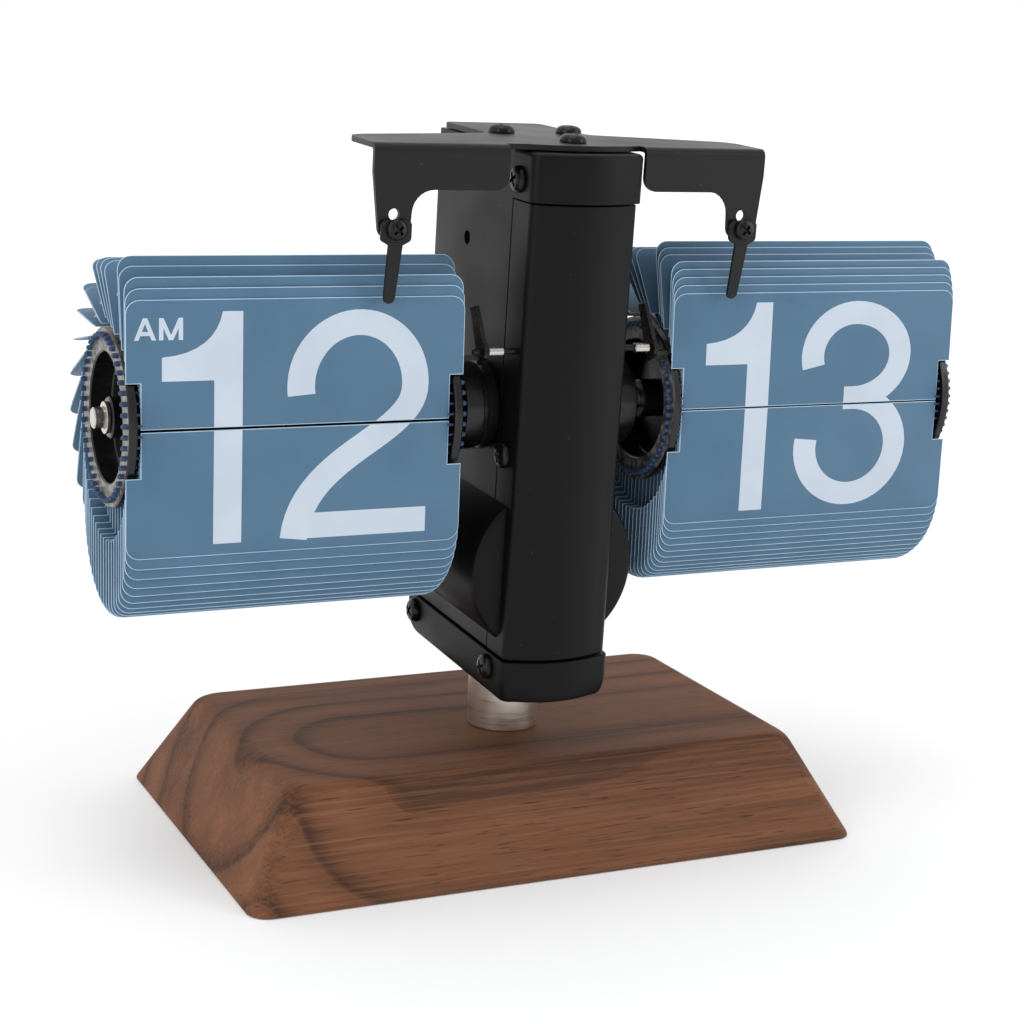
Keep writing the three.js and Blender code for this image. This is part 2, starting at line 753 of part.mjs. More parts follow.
const column = new THREE.Group();
column.position.set(0, AXLE.y, AXLE.z);
column.rotation.x = LEAN;
column.add(node("front_shell", frontShell(), BLACK_METAL));
column.add(node("rear_housing", rearHousing(), BLACK_METAL));
column.add(node("top_cap", topCap(), BLACK_METAL));
column.add(node("bottom_cap", bottomCap(), BLACK_METAL));
column.add(node("top_bracket", topBracket(), BLACK_METAL));
column.add(node("hour_finger", finger(HOUR_FINGER_X), BLACK_METAL));
column.add(node("minute_finger", finger(MINUTE_FINGER_X), BLACK_METAL));
column.add(node("hour_finger_screw", fingerScrew(HOUR_FINGER_X), DARK_SCREW));
column.add(node("minute_finger_screw", fingerScrew(MINUTE_FINGER_X), DARK_SCREW));
for (const [name, place] of Object.entries(screwPlaces)) {
  column.add(node(name, sideScrew(place), DARK_SCREW));
}
for (const [name, place] of Object.entries(bracketScrews)) {
  column.add(node(name, topScrew(place), DARK_SCREW));
}
column.add(node("movement", movement(), PALE_PLASTIC));
column.add(node("motor_pinion", motorPinion(), BRASS));
column.add(node("battery_cell", batteryCell(), CELL_WRAP));
column.add(node("hour_bearing", bearing(-1), BLACK_GLOSS));
column.add(node("minute_bearing", bearing(1), BLACK_GLOSS));
column.add(node("pawl_rod", pawlRod(), STEEL));

const knob = node("time_set_knob", timeSetKnob(), BLACK_GLOSS);
knob.position.z = KNOB.z;
column.add(knob);
const door = node("battery_door", batteryDoor(), BLACK_GLOSS);
door.position.set(0, BARREL.back, BARREL.z);
column.add(door);
const pawls = { minute_pawl: pawl(), hour_pawl: mirrored(pawl()) };
for (const [name, body] of Object.entries(pawls)) {
  const mesh = node(name, body, BLACK_METAL);
  mesh.position.set(0, PAWL_ROD.y, PAWL_ROD.z);
  column.add(mesh);
}
clock.add(column);

const drums = new THREE.Group();
drums.position.set(0, AXLE.y, AXLE.z);
drums.add(drumParts(HOUR));
drums.add(drumParts(MINUTE));
drums.add(node("minute_gear", minuteGear(), BRASS));
clock.add(drums);

export default clock;
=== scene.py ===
"""The looks of a flip number clock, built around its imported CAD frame.

Lengths are millimetres in the frame's own axes until mesh_piece() turns them into metres:
+X is the viewer's right, -Y faces the viewer, +Z is up.
The column's pieces are drawn in a frame of their own, which leans with it.
A part is (vertices, faces, material index), the last one number or one for each face. A piece joins parts.
"""

import json
import math

import bpy
from mathutils import Matrix, Vector
from mathutils.geometry import delaunay_2d_cdt

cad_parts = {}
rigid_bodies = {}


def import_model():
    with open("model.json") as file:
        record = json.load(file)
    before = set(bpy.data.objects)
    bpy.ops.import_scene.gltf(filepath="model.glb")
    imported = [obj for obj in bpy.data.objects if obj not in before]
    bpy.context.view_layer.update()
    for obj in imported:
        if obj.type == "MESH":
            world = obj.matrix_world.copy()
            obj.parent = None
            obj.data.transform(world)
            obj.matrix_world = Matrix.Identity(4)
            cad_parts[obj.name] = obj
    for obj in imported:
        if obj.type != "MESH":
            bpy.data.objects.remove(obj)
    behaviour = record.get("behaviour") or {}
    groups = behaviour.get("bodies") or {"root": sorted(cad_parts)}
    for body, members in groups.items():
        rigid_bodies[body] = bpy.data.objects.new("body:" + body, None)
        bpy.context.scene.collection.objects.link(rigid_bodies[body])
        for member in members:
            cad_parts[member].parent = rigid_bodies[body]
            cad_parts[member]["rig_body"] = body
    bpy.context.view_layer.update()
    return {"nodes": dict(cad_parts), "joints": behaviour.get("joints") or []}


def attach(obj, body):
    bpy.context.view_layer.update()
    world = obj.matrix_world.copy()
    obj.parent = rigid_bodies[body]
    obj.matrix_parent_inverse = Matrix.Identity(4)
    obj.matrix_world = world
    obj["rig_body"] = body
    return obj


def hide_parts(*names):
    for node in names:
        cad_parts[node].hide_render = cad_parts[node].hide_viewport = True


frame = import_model()

MM = 0.001
JOINTS = {joint["name"]: joint for joint in frame["joints"]}


# ---------- camera ----------
def add_camera():
    """The viewpoint: turned to the right, tilted down and rolled a little."""
    azimuth, elevation, roll = (math.radians(angle) for angle in (-25.242, 12.510, 2.362))
    turn = (
        Matrix.Rotation(azimuth, 4, "Z")
        @ Matrix.Rotation(math.pi / 2 - elevation, 4, "X")
        @ Matrix.Rotation(roll, 4, "Z")
    )
    data = bpy.data.cameras.new("camera")
    data.sensor_width = 36
    data.lens = 74.49
    camera = bpy.data.objects.new("camera", data)
    camera.matrix_world = Matrix.Translation((-0.21185, -0.45793, 0.1876)) @ turn
    bpy.context.scene.collection.objects.link(camera)
    bpy.context.scene.camera = camera


add_camera()


# ---------- materials ----------
def linear(red, green, blue):
    """An sRGB colour, each channel 0 to 255, as the linear colour a shader takes."""

    def channel(value):
        value /= 255
        return value / 12.92 if value <= 0.04045 else ((value + 0.055) / 1.055) ** 2.4

    return (channel(red), channel(green), channel(blue), 1)


class Nodes:
    """A node tree, with short calls that add to it. A value is a constant or another node's output."""

    def __init__(self, tree):
        self.nodes = tree.nodes
        self.links = tree.links

    def plug(self, socket, value):
        if isinstance(value, bpy.types.NodeSocket):
            self.links.new(value, socket)
        else:
            socket.default_value = value

    def add(self, kind, inputs):
        node = self.nodes.new("ShaderNode" + kind)
        for name, value in inputs.items():
            self.plug(node.inputs[name], value)
        return node

    def spread(self, factor, low, high, start=0.3, end=0.7):
        """factor's middle range, start to end, spread over low to high."""
        reach = {"From Min": start, "From Max": end, "To Min": low, "To Max": high}
        return self.add("MapRange", {"Value": factor, **reach}).outputs["Result"]


class Shader(Nodes):
    """A Principled material, with short calls for what varies its colour, roughness and bump."""

    def __init__(self, name, color, roughness, metallic=0.0, specular=0.5):
        self.material = bpy.data.materials.new(name)
        self.material.use_nodes = True
        super().__init__(self.material.node_tree)
        self.place = self.add("TexCoord", {}).outputs["Object"]
        self.set("Base Color", color)
        self.set("Roughness", roughness)
        self.set("Metallic", metallic)
        self.set("Specular IOR Level", specular)

    def set(self, name, value):
        self.plug(self.nodes["Principled BSDF"].inputs[name], value)

    def stretched(self, scale, location=(0, 0, 0), vector=None):
        """The place in the object, scaled so that a pattern runs along the least scaled axis."""
        inputs = {"Vector": vector or self.place, "Scale": scale, "Location": location}
        return self.add("Mapping", inputs).outputs["Vector"]

    def noise(self, scale, detail=4.0, vector=None, roughness=0.5, output="Fac"):
        inputs = {"Vector": vector or self.place, "Scale": scale, "Detail": detail, "Roughness": roughness}
        return self.add("TexNoise", inputs).outputs[output]

    def ramp(self, factor, stops):
        node = self.add("ValToRGB", {"Fac": factor})
        elements = node.color_ramp.elements
        while len(elements) < len(stops):
            elements.new(0.5)
        for element, (position, color) in zip(elements, stops):
            element.position = position
            element.color = color
        return node.outputs["Color"]

    def mix(self, first, second, factor, blend="MIX"):
        node = self.add("Mix", {})
        node.data_type = "RGBA"
        node.blend_type = blend
        self.plug(node.inputs["Factor"], factor)
        for name, value in (("A", first), ("B", second)):
            self.plug([s for s in node.inputs if s.name == name and s.type == "RGBA"][0], value)
        return [s for s in node.outputs if s.type == "RGBA"][0]

    def color(self, first, second, factor):
        self.set("Base Color", self.mix(first, second, factor))

    def roughness(self, factor, low, high):
        self.set("Roughness", self.spread(factor, low, high))

    def bump(self, height, strength, distance):
        node = self.add("Bump", {"Height": height, "Strength": strength, "Distance": distance})
        self.set("Normal", node.outputs["Normal"])


def walnut():
    """Growth layers that run along X and close round the left end, with fine fibres and dark pores."""
    wood = Shader("walnut", linear(116, 74, 50), 0.62, specular=0.14)
    drift = wood.noise(1.0, 2.0, wood.stretched((8, 22, 22)), output="Color")
    warped = wood.mix(wood.place, drift, 0.0035, "LINEAR_LIGHT")
    split = wood.add("SeparateXYZ", {"Vector": warped}).outputs
    capped = wood.spread(split["X"], 0.12, 0.0, -0.157, -0.037)
    heart = wood.add("CombineXYZ", {"X": capped, "Y": split["Y"], "Z": split["Z"]}).outputs["Vector"]
    centered = wood.stretched((1, 1, 1), (0, 0.009, -0.008), heart)
    wander = {"Distortion": 0.8, "Detail": 2.5, "Detail Scale": 0.8}
    layers = wood.add("TexWave", {"Vector": centered, "Scale": 31, "Phase Offset": 4.7, **wander})
    layers.wave_type = "RINGS"
    layers.rings_direction = "SPHERICAL"
    layers.wave_profile = "SAW"
    growth = [(0.0, linear(104, 68, 48)), (0.35, linear(118, 78, 55)), (0.7, linear(108, 71, 50))]
    growth += [(0.94, linear(68, 45, 34)), (1.0, linear(90, 59, 43))]
    tone = wood.ramp(layers.outputs["Fac"], growth)
    streak = wood.noise(1.0, 3.0, wood.stretched((6, 60, 60)))
    tone = wood.mix(tone, linear(66, 43, 32), wood.spread(streak, 0.0, 0.6, 0.47, 0.68))
    flame = wood.noise(1.0, 3.0, wood.stretched((7, 90, 90), (3, 1, 2)))
    tone = wood.mix(tone, linear(154, 102, 70), wood.spread(flame, 0.0, 0.4, 0.52, 0.72))
    fibre = wood.noise(1.0, 6.0, wood.stretched((22, 1300, 1300)), 0.65)
    tone = wood.mix(tone, linear(168, 116, 84), wood.spread(fibre, 0.0, 0.34, 0.45, 0.75))
    pores = wood.noise(1.0, 2.0, wood.stretched((110, 2300, 2300)))
    wood.color(tone, linear(48, 29, 21), wood.spread(pores, 0.0, 0.65, 0.6, 0.72))
    wood.roughness(fibre, 0.54, 0.68)
    wood.bump(wood.spread(pores, 1.0, 0.0, 0.6, 0.74), 0.3, 0.00012)
    return wood.material


def satin_black(name, low, high, specular):
    """Satin black paint: a faint orange peel, uneven sheen and a few specks of dust."""
    paint = Shader(name, low, 0.42, specular=specular)
    cloud = paint.noise(45, 3.0)
    dust = paint.spread(paint.noise(900, 1.0), 0.0, 0.3, 0.79, 0.84)
    base = paint.mix(low, high, cloud)
    paint.color(base, linear(110, 110, 110), dust)
    paint.roughness(cloud, 0.36, 0.48)
    paint.bump(paint.noise(1400, 3.0), 0.12, 0.00006)
    return paint.material


def gloss_black():
    """Moulded black plastic: glossy, with faint flow marks."""
    plastic = Shader("gloss_black", linear(14, 14, 15), 0.22, specular=0.4)
    flow = plastic.noise(1.0, 3.0, plastic.stretched((60, 160, 160)))
    plastic.color(linear(10, 10, 11), linear(19, 19, 21), flow)
    plastic.roughness(flow, 0.18, 0.36)
    plastic.bump(plastic.noise(700, 2.0), 0.06, 0.00005)
    return plastic.material


def scuffed_rim():
    """The drum rims: black moulding coloured grey between the pins as a painted reflection of the bright
    surround.
    """
    rim = Shader("scuffed_rim", linear(84, 82, 80), 0.38, 0.35)
    painted_reflection_noise = rim.noise(520, 4.0)
    # The light grey is a painted reflection, mottled by noise.
    rim.color(linear(66, 64, 62), linear(150, 146, 141), rim.spread(painted_reflection_noise, 0.0, 1.0, 0.4, 0.66))
    rim.roughness(painted_reflection_noise, 0.3, 0.5)
    rim.bump(painted_reflection_noise, 0.15, 0.00008)
    return rim.material


def leaf_ink(name, low, high):
    """Matt printed sheet: a fine tooth and a slight unevenness of the ink."""
    sheet = Shader(name, low, 0.5, specular=0.35)
    ink = sheet.noise(60, 4.0)
    sheet.color(low, high, sheet.spread(ink, 0.0, 1.0))
    sheet.roughness(ink, 0.46, 0.6)
    sheet.bump(sheet.noise(2600, 2.0), 0.1, 0.00004)
    return sheet.material


def brushed(name, low, high, grain, roughness):
    """Bare metal with fine lines that run across the axis with the highest grain."""
    metal = Shader(name, low, roughness, 1.0)
    lines = metal.noise(1.0, 5.0, metal.stretched(grain), 0.7)
    metal.color(low, high, lines)
    metal.roughness(lines, roughness - 0.06, roughness + 0.1)
    metal.bump(lines, 0.12, 0.00003)
    return metal.material


def worn_black():
    """Blackened steel, worn a little bright."""
    steel = Shader("worn_black", linear(16, 16, 17), 0.3, 0.3, 0.4)
    wear = steel.noise(800, 4.0)
    steel.color(linear(12, 12, 13), linear(84, 84, 84), steel.spread(wear, 0.0, 0.5, 0.6, 0.85))
    steel.roughness(wear, 0.22, 0.4)
    steel.bump(wear, 0.1, 0.00004)
    return steel.material


def moulded(name, low, high):
    """Plain moulded plastic for the pieces inside."""
    plastic = Shader(name, low, 0.5)
    flow = plastic.noise(90, 3.0)
    plastic.color(low, high, flow)
    plastic.roughness(flow, 0.4, 0.6)
    plastic.bump(plastic.noise(1500, 2.0), 0.08, 0.00005)
    return plastic.material


WALNUT = walnut()
SATIN = satin_black("satin_black", linear(8, 8, 9), linear(14, 14, 15), 0.14)
SHEET_BLACK = satin_black("sheet_black", linear(10, 10, 11), linear(17, 17, 18), 0.28)
GLOSS = gloss_black()
RIM = scuffed_rim()
LEAF = leaf_ink("leaf_blue", linear(70, 104, 131), linear(78, 112, 139))
# Pale blue for the leaves' edges: a painted highlight.
LEAF_EDGE_HIGHLIGHT = leaf_ink("leaf_edge", linear(160, 188, 210), linear(180, 204, 224))
LEAF_PIN = leaf_ink("leaf_pin", linear(36, 56, 90), linear(54, 80, 114))
PRINT = leaf_ink("leaf_print", linear(182, 194, 207), linear(192, 204, 216))
POST_STEEL = brushed("post_steel", linear(188, 178, 168), linear(224, 215, 205), (90, 90, 4200), 0.3)
STEEL = brushed("plain_steel", linear(176, 170, 162), linear(212, 207, 200), (3200, 160, 160), 0.24)
BRASS = brushed("brass", linear(172, 136, 72), linear(206, 168, 98), (3000, 300, 300), 0.3)
WORN = worn_black()
MOVEMENT_PLASTIC = moulded("movement_plastic", linear(196, 192, 182), linear(210, 206, 197))
CELL_SLEEVE = moulded("cell_sleeve", linear(56, 70, 86), linear(66, 82, 98))


# ---------- places from the frame ----------
AXLE = Vector(JOINTS["hour_drum_turn"]["pos_m"]) / MM
REARWARD = Vector(JOINTS["battery_door_twist"]["axis"])
COLUMN = Matrix.Translation(AXLE) @ Matrix.Rotation(math.atan2(REARWARD.z, REARWARD.y), 4, "X")
UPRIGHT = Matrix.Identity(4)


def box_in(place, node):
    """A CAD node's lowest and highest corners in a placed frame, in millimetres."""
    back = place.inverted()
    corners = [back @ (v.co / MM) for v in frame["nodes"][node].data.vertices]
    low = Vector([min(c[i] for c in corners) for i in range(3)])
    high = Vector([max(c[i] for c in corners) for i in range(3)])
    return low, high


# ---------- mesh helpers ----------
FACET = math.radians(32)


def placed(place, part):
    vertices, faces, index = part
    return [place @ Vector(v) for v in vertices], faces, index


def mesh_piece(name, parts, materials, replaces, place=UPRIGHT, bevel=0.0):
    """One object that stands for the CAD nodes in replaces and rides on the body of the first."""
    vertices = []
    faces = []
    indices = []
    for part_vertices, part_faces, index in parts:
        start = len(vertices)
        vertices += [(place @ Vector(v)) * MM for v in part_vertices]
        faces += [tuple(start + i for i in face) for face in part_faces]
        indices += index if isinstance(index, list) else [index] * len(part_faces)
    mesh = bpy.data.meshes.new(name)
    mesh.from_pydata(vertices, [], faces)
    mesh.polygons.foreach_set("material_index", indices)
    for material in materials:
        mesh.materials.append(material)
    piece = bpy.data.objects.new(name, mesh)
    bpy.context.scene.collection.objects.link(piece)
    mesh.shade_smooth()
    mesh.set_sharp_from_angle(angle=FACET)
    if bevel:
        rounding = piece.modifiers.new("rounding", "BEVEL")
        rounding.width = bevel * MM
        rounding.segments = 3
        rounding.limit_method = "ANGLE"
        rounding.angle_limit = FACET
        rounding.harden_normals = True
    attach(piece, frame["nodes"][replaces[0]]["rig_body"])
    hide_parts(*replaces)


def ellipse(center, radii, start, end, steps):
    """Points round an ellipse, angles in degrees."""
    angles = (math.radians(start + (end - start) * i / steps) for i in range(steps + 1))
    return [(center[0] + radii[0] * math.cos(a), center[1] + radii[1] * math.sin(a)) for a in angles]


def arc(center, radius, start, end, steps):
    return ellipse(center, (radius, radius), start, end, steps)


def bezier(start, first, second, end, steps):
    """Points along a cubic curve, its start left out."""
    points = []
    for i in range(1, steps + 1):
        t = i / steps
        weights = ((1 - t) ** 3, 3 * t * (1 - t) ** 2, 3 * t * t * (1 - t), t**3)
        corners = (start, first, second, end)
        points.append(tuple(sum(w * c[axis] for w, c in zip(weights, corners)) for axis in range(2)))
    return points


def rounded(corners, steps=5):
    """An outline from (a, b, radius) corners, each rounded by an arc of that radius."""
    points = []
    count = len(corners)
    for i, (a, b, radius) in enumerate(corners):
        if radius == 0:
            points.append((a, b))
            continue
        here = Vector((a, b))
        before = (Vector(corners[i - 1][:2]) - here).normalized()
        after = (Vector(corners[(i + 1) % count][:2]) - here).normalized()
        half = before.angle(after) / 2
        center = here + (before + after).normalized() * radius / math.sin(half)
        first = here + before * radius / math.tan(half) - center
        last = here + after * radius / math.tan(half) - center
        turns = (first.slerp(last, step / steps) for step in range(steps + 1))
        points += [tuple(center + radius * turn) for turn in turns]
    return points


def softened(corners):
    """A profile from (radius, height, edge) corners, each cut back by its edge."""
    return rounded(corners, 1)


def flat(a, b, height):
    return (a, b, height)


def facing_front(a, b, depth):
    return (a, depth, b)


def facing_side(a, b, across):
    return (across, a, b)


def handedness(lift):
    """Above zero when lift keeps a right-handed frame right-handed."""
    zero, first, second, third = (Vector(lift(*p)) for p in ((0, 0, 0), (1, 0, 0), (0, 1, 0), (0, 0, 1)))
    return (first - zero).cross(second - zero).dot(third - zero)


def signed_area(outline):
    """Twice an outline's area, above zero when it runs counter-clockwise."""
    return sum(a[0] * b[1] - b[0] * a[1] for a, b in zip(outline, outline[1:] + outline[:1]))


def prism(outline, low, high, lift, index=0):
    """An outline made solid between two heights. lift(a, b, h) gives a corner's place in space."""
    count = len(outline)
    vertices = [lift(a, b, low) for a, b in outline] + [lift(a, b, high) for a, b in outline]
    faces = [(i, (i + 1) % count, count + (i + 1) % count, count + i) for i in range(count)]
    faces += [tuple(range(count))[::-1], tuple(range(count, 2 * count))]
    if signed_area(outline) * handedness(lift) < 0:
        faces = [face[::-1] for face in faces]
    return vertices, faces, index


def stacked(sections, index=0):
    """A solid through sections of the same count of corners, each higher than the last."""
    count = len(sections[0])
    vertices = [v for section in sections for v in section]
    faces = [tuple(range(count))[::-1]]
    for level in range(len(sections) - 1):
        base = level * count
        for i in range(count):
            after = (i + 1) % count
            faces.append((base + i, base + after, base + count + after, base + count + i))
    top = (len(sections) - 1) * count
    faces.append(tuple(range(top, top + count)))
    return vertices, faces, index


def turned(profile, center, axis, segments=64, index=0):
    """(radius, height) corners turned about an axis. The profile closes on itself or ends at radius 0."""
    closed = all(radius > 0 for radius, _ in (profile[0], profile[-1]))
    vertices = []
    rows = []
    for radius, height in profile:
        count = 1 if radius == 0 else segments
        rows.append(range(len(vertices), len(vertices) + count))
        for i in range(count):
            angle = 2 * math.pi * i / segments
            vertices.append(Vector((radius * math.cos(angle), radius * math.sin(angle), height)))
    if closed:
        rows.append(rows[0])
    faces = []
    for lower, upper in zip(rows, rows[1:]):
        for i in range(segments):
            after = (i + 1) % segments
            corners = [lower[i % len(lower)], lower[after % len(lower)]]
            corners += [upper[after % len(upper)], upper[i % len(upper)]]
            face = tuple(dict.fromkeys(corners))
            if len(face) > 2:
                faces.append(face)
    rotation = Vector((0, 0, 1)).rotation_difference(Vector(axis)).to_matrix()
    return [rotation @ v + Vector(center) for v in vertices], faces, index


def rod(radius, start, end, edge=0.15, segments=32, index=0):
    """A round bar between two points, its ends slightly chamfered."""
    length = (Vector(end) - Vector(start)).length
    profile = softened([(0, 0, 0), (radius, 0, edge), (radius, length, edge), (0, length, 0)])
    return turned(profile, start, Vector(end) - Vector(start), segments, index)


def carved(part, tools):
    """A part with other parts cut out of it."""

    def temporary(shape):
        mesh = bpy.data.meshes.new("carving")
        mesh.from_pydata([Vector(v) for v in shape[0]], [], shape[1])
        body = bpy.data.objects.new("carving", mesh)
        bpy.context.scene.collection.objects.link(body)
        return body

    body = temporary(part)
    cutters = [temporary(tool) for tool in tools]
    for cutter in cutters:
        cut = body.modifiers.new("cut", "BOOLEAN")
        cut.operation = "DIFFERENCE"
        cut.solver = "EXACT"
        cut.object = cutter
    shaped = body.evaluated_get(bpy.context.evaluated_depsgraph_get()).to_mesh()
    vertices = [v.co.copy() for v in shaped.vertices]
    faces = [tuple(polygon.vertices) for polygon in shaped.polygons]
    for temporary_body in [body] + cutters:
        bpy.data.objects.remove(temporary_body)
    return vertices, faces, part[2]


# ---------- base and post ----------
BASE_INSET = 12.8
BASE_EDGE = 4.6
BASE_CORNER = 5.0
FOOT = 0.8


def base_ring(half_x, half_y, z):
    corners = [(x * half_x, y * half_y, BASE_CORNER) for x, y in ((1, 1), (-1, 1), (-1, -1), (1, -1))]
    return [(x, y, z) for x, y in rounded(corners, 8)]


def wooden_base():
    """The base as rising rounded rectangles: a small foot edge, the slope and the rounded rim."""
    high = box_in(UPRIGHT, "wooden_base")[1]
    slope = math.atan2(BASE_INSET, high.z)
    upper = math.pi / 2 - slope
    tangent = BASE_EDGE * math.tan(upper / 2)
    levels = [(FOOT, 0.0), (FOOT * 0.3, FOOT * 0.3), (FOOT * slope, FOOT)]
    steps = 10
    for i in range(steps + 1):
        angle = upper * (1 - i / steps)
        inset = BASE_INSET + tangent - BASE_EDGE * math.sin(angle)
        levels.append((inset, high.z - BASE_EDGE + BASE_EDGE * math.cos(angle)))
    return stacked([base_ring(high.x - d, high.y - d, z) for d, z in levels])


def post():
    low, high = box_in(UPRIGHT, "post")
    radius = (high.x - low.x) / 2
    center = (0, (low.y + high.y) / 2)
    edge = 0.3
    return rod(radius, (*center, low.z), (*center, high.z), edge, 96)


mesh_piece("walnut_base", [wooden_base()], [WALNUT], ["wooden_base"])
mesh_piece("steel_post", [post()], [POST_STEEL], ["post"])

# ---------- column ----------
SAGITTA = 2.4
FRONT_CORNER = 2.4
SIDE_FRONT = -20.1
CAP_FRONT = -20.8
SHELL_WALL = 1.3
HOUSING_BACK = 34.3
HOUSING_BOTTOM = -56
HOUSING_CORNER = 1.2
VENT_RADIUS = 1.6
VENT_PLACE = (14.6, 36.3)


def bowed_plan(half, front, back, wall=0.0):
    """The column's plan, with a bowed front. wall makes it a channel that is open at the back."""
    least_corner = 0.4
    sweep = 75

    def face(inset):
        side = half - inset
        corner = max(FRONT_CORNER - inset, least_corner)
        straight = front + inset
        reach = side - corner
        steps = 24
        points = [(-side, back)]
        points += arc((corner - side, straight + corner), corner, 180, 180 + sweep, 6)
        for i in range(1, steps):
            x = -reach + 2 * reach * i / steps
            points.append((x, straight - SAGITTA * (1 - (x / reach) ** 2)))
        points += arc((side - corner, straight + corner), corner, -sweep, 0, 6)
        points.append((side, back))
        return points

    outer = face(0.0)
    return outer + face(wall)[::-1] if wall else outer


def bowed_solid(levels):
    """The column's plan at rising levels, each (height, half width, front, back)."""
    return stacked([[(x, y, z) for x, y in bowed_plan(*sides)] for z, *sides in levels])


def bottom_shoe(low, high):
    """The bottom cap, drawn in at the bottom by a rear and a front rounding."""
    rear_radius = 5.5
    front_radius = 1.2
    steps = 8
    levels = []
    for i in range(steps + 1):
        angle = math.pi / 2 * i / steps
        inset = front_radius * (1 - math.sin(angle))
        back = high.y - rear_radius * (1 - math.sin(angle))
        z = low.z + rear_radius * (1 - math.cos(angle))
        levels.append((z, high.x - inset, CAP_FRONT + inset, back))
    return bowed_solid(levels + [(high.z, high.x, CAP_FRONT, high.y)])


def top_cap(low, high):
    """The top cap, its upper edge rounded."""
    edge = 1.0
    steps = 4
    levels = [(low.z, high.x, CAP_FRONT, high.y)]
    for i in range(steps + 1):
        angle = math.pi / 2 * i / steps
        inset = edge * (1 - math.cos(angle))
        z = high.z - edge * (1 - math.sin(angle))
        levels.append((z, high.x - inset, CAP_FRONT + inset, high.y))
    return bowed_solid(levels)


def barrel_part(low, door_low, door_high):
    """The battery barrel: a drum with a rolled front rim, open at the back for its door."""
    radius = (door_high.x - door_low.x) / 2
    lap = 1.1
    length = door_low.y + lap - low.y
    wall = 1.6
    roll = 1.6
    front = [(0, 0), (radius - roll, 0), (radius - 0.5, 0.5), (radius, roll)]
    mouth = [(radius, length - 0.4), (radius - 0.4, length), (radius - wall, length)]
    profile = front + mouth + [(radius - wall, wall), (0, wall)]
    center = (0, low.y, (door_low.z + door_high.z) / 2)
    return turned(profile, center, (0, 1, 0), 96)


def column_shells():
    shell_low, shell_high = box_in(COLUMN, "front_shell")
    half = shell_high.x
    channel = bowed_plan(half, SIDE_FRONT, shell_high.y, SHELL_WALL)
    shell = prism(channel, shell_low.z, shell_high.z, flat)
    mesh_piece("front_cover", [shell], [SATIN], ["front_shell"], COLUMN, 0.25)

    cap = top_cap(*box_in(COLUMN, "top_cap"))
    mesh_piece("top_collar", [cap], [SATIN], ["top_cap"], COLUMN)

    shoe = bottom_shoe(*box_in(COLUMN, "bottom_cap"))
    mesh_piece("bottom_shoe", [shoe], [SATIN], ["bottom_cap"], COLUMN, 0.3)

    low, high = box_in(COLUMN, "rear_housing")
    door_low, door_high = box_in(COLUMN, "battery_door")
    seam = shell_high.y + 0.3
    front_corners = [(-half, seam, 0), (half, seam, 0)]
    back_corners = [(half, HOUSING_BACK, HOUSING_CORNER), (-half, HOUSING_BACK, HOUSING_CORNER)]
    walls = prism(rounded(front_corners + back_corners), HOUSING_BOTTOM, high.z, flat)
    vent = rod(VENT_RADIUS, (-half - 1, *VENT_PLACE), (-half + 3, *VENT_PLACE))
    housing = carved(walls, [vent])
    parts = [housing, barrel_part(low, door_low, door_high)]
    mesh_piece("rear_box", parts, [SATIN], ["rear_housing"], COLUMN, 0.2)


column_shells()


# ---------- bracket and fingers ----------
SHEET = 1.2
BEND = 1.8
FINGER_REACH = 1.9
LEFT_WING = -19
RIGHT_WING = 14
LEG_HOLE_RADIUS = 1.25
LEG_HOLE_HEIGHT = 46.2


def bracket_plate(left, right, front, back):
    """The top plate's plan: two wings bent down in front, a bowed middle edge and a tongue to the rear."""
    waist = 12.5
    bend_line = front + BEND
    middle_edge = -16.5
    bow = 2.6
    wing = [(left, bend_line, 0), (left, -2, 6), (-waist, 7, 3), (-waist, back, 2)]
    wing += [(waist, back, 2), (waist, 7, 3), (right, -4, 6), (right, bend_line, 0)]
    outline = rounded(wing)
    outline += [(RIGHT_WING, bend_line), (RIGHT_WING, middle_edge)]
    steps = 12
    for i in range(1, steps):
        x = RIGHT_WING * (1 - 2 * i / steps)
        outline.append((x, middle_edge - bow * (1 - (x / RIGHT_WING) ** 2)))
    return outline + [(-RIGHT_WING, middle_edge), (LEFT_WING, middle_edge), (LEFT_WING, bend_line)]


def bracket_wing(column_side, outer, leg_x, top):
    """The outline of a front flange that narrows into a leg."""
    away = math.copysign(1, outer - column_side)
    bottom = 51.4
    foot = 41
    corners = [(column_side, top - BEND, 0), (column_side, bottom, 3), (leg_x - 4 * away, bottom, 5)]
    corners += [(leg_x - 3.4 * away, foot, 2.4), (leg_x + 3.5 * away, foot, 2.4)]
    return rounded(corners + [(outer, top - 6, 4), (outer, top - BEND, 0)], 7)


def bend_part(x0, x1, front, top):
    """The quarter-round bend between the plate and a flange, from x0 to x1."""
    center = (front + BEND, top - BEND)
    outline = arc(center, BEND, 90, 180, 8) + arc(center, BEND - SHEET, 180, 90, 8)
    return prism(outline, min(x0, x1), max(x0, x1), facing_side)


def bracket():
    """The plate, and on each side a bend and a flange with a small hole above its finger's screw."""
    low, high = box_in(COLUMN, "top_bracket")
    front, top = low.y, high.z
    parts = [prism(bracket_plate(low.x, high.x, front, high.y), top - SHEET, top, flat)]
    wings = ((LEFT_WING, low.x, "hour_finger"), (RIGHT_WING, high.x, "minute_finger"))
    for column_side, outer, finger_node in wings:
        finger_low, finger_high = box_in(COLUMN, finger_node)
        leg_x = (finger_low.x + finger_high.x) / 2
        wing = prism(bracket_wing(column_side, outer, leg_x, top), front, front + SHEET, facing_front)
        hole_x = leg_x - 0.3
        hole_start = (hole_x, front - 1, LEG_HOLE_HEIGHT)
        hole = rod(LEG_HOLE_RADIUS, hole_start, (hole_x, front + 3, LEG_HOLE_HEIGHT))
        parts += [carved(wing, [hole]), bend_part(column_side, outer, front, top)]
    mesh_piece("wing_bracket", parts, [SHEET_BLACK], ["top_bracket"], COLUMN, 0.15)


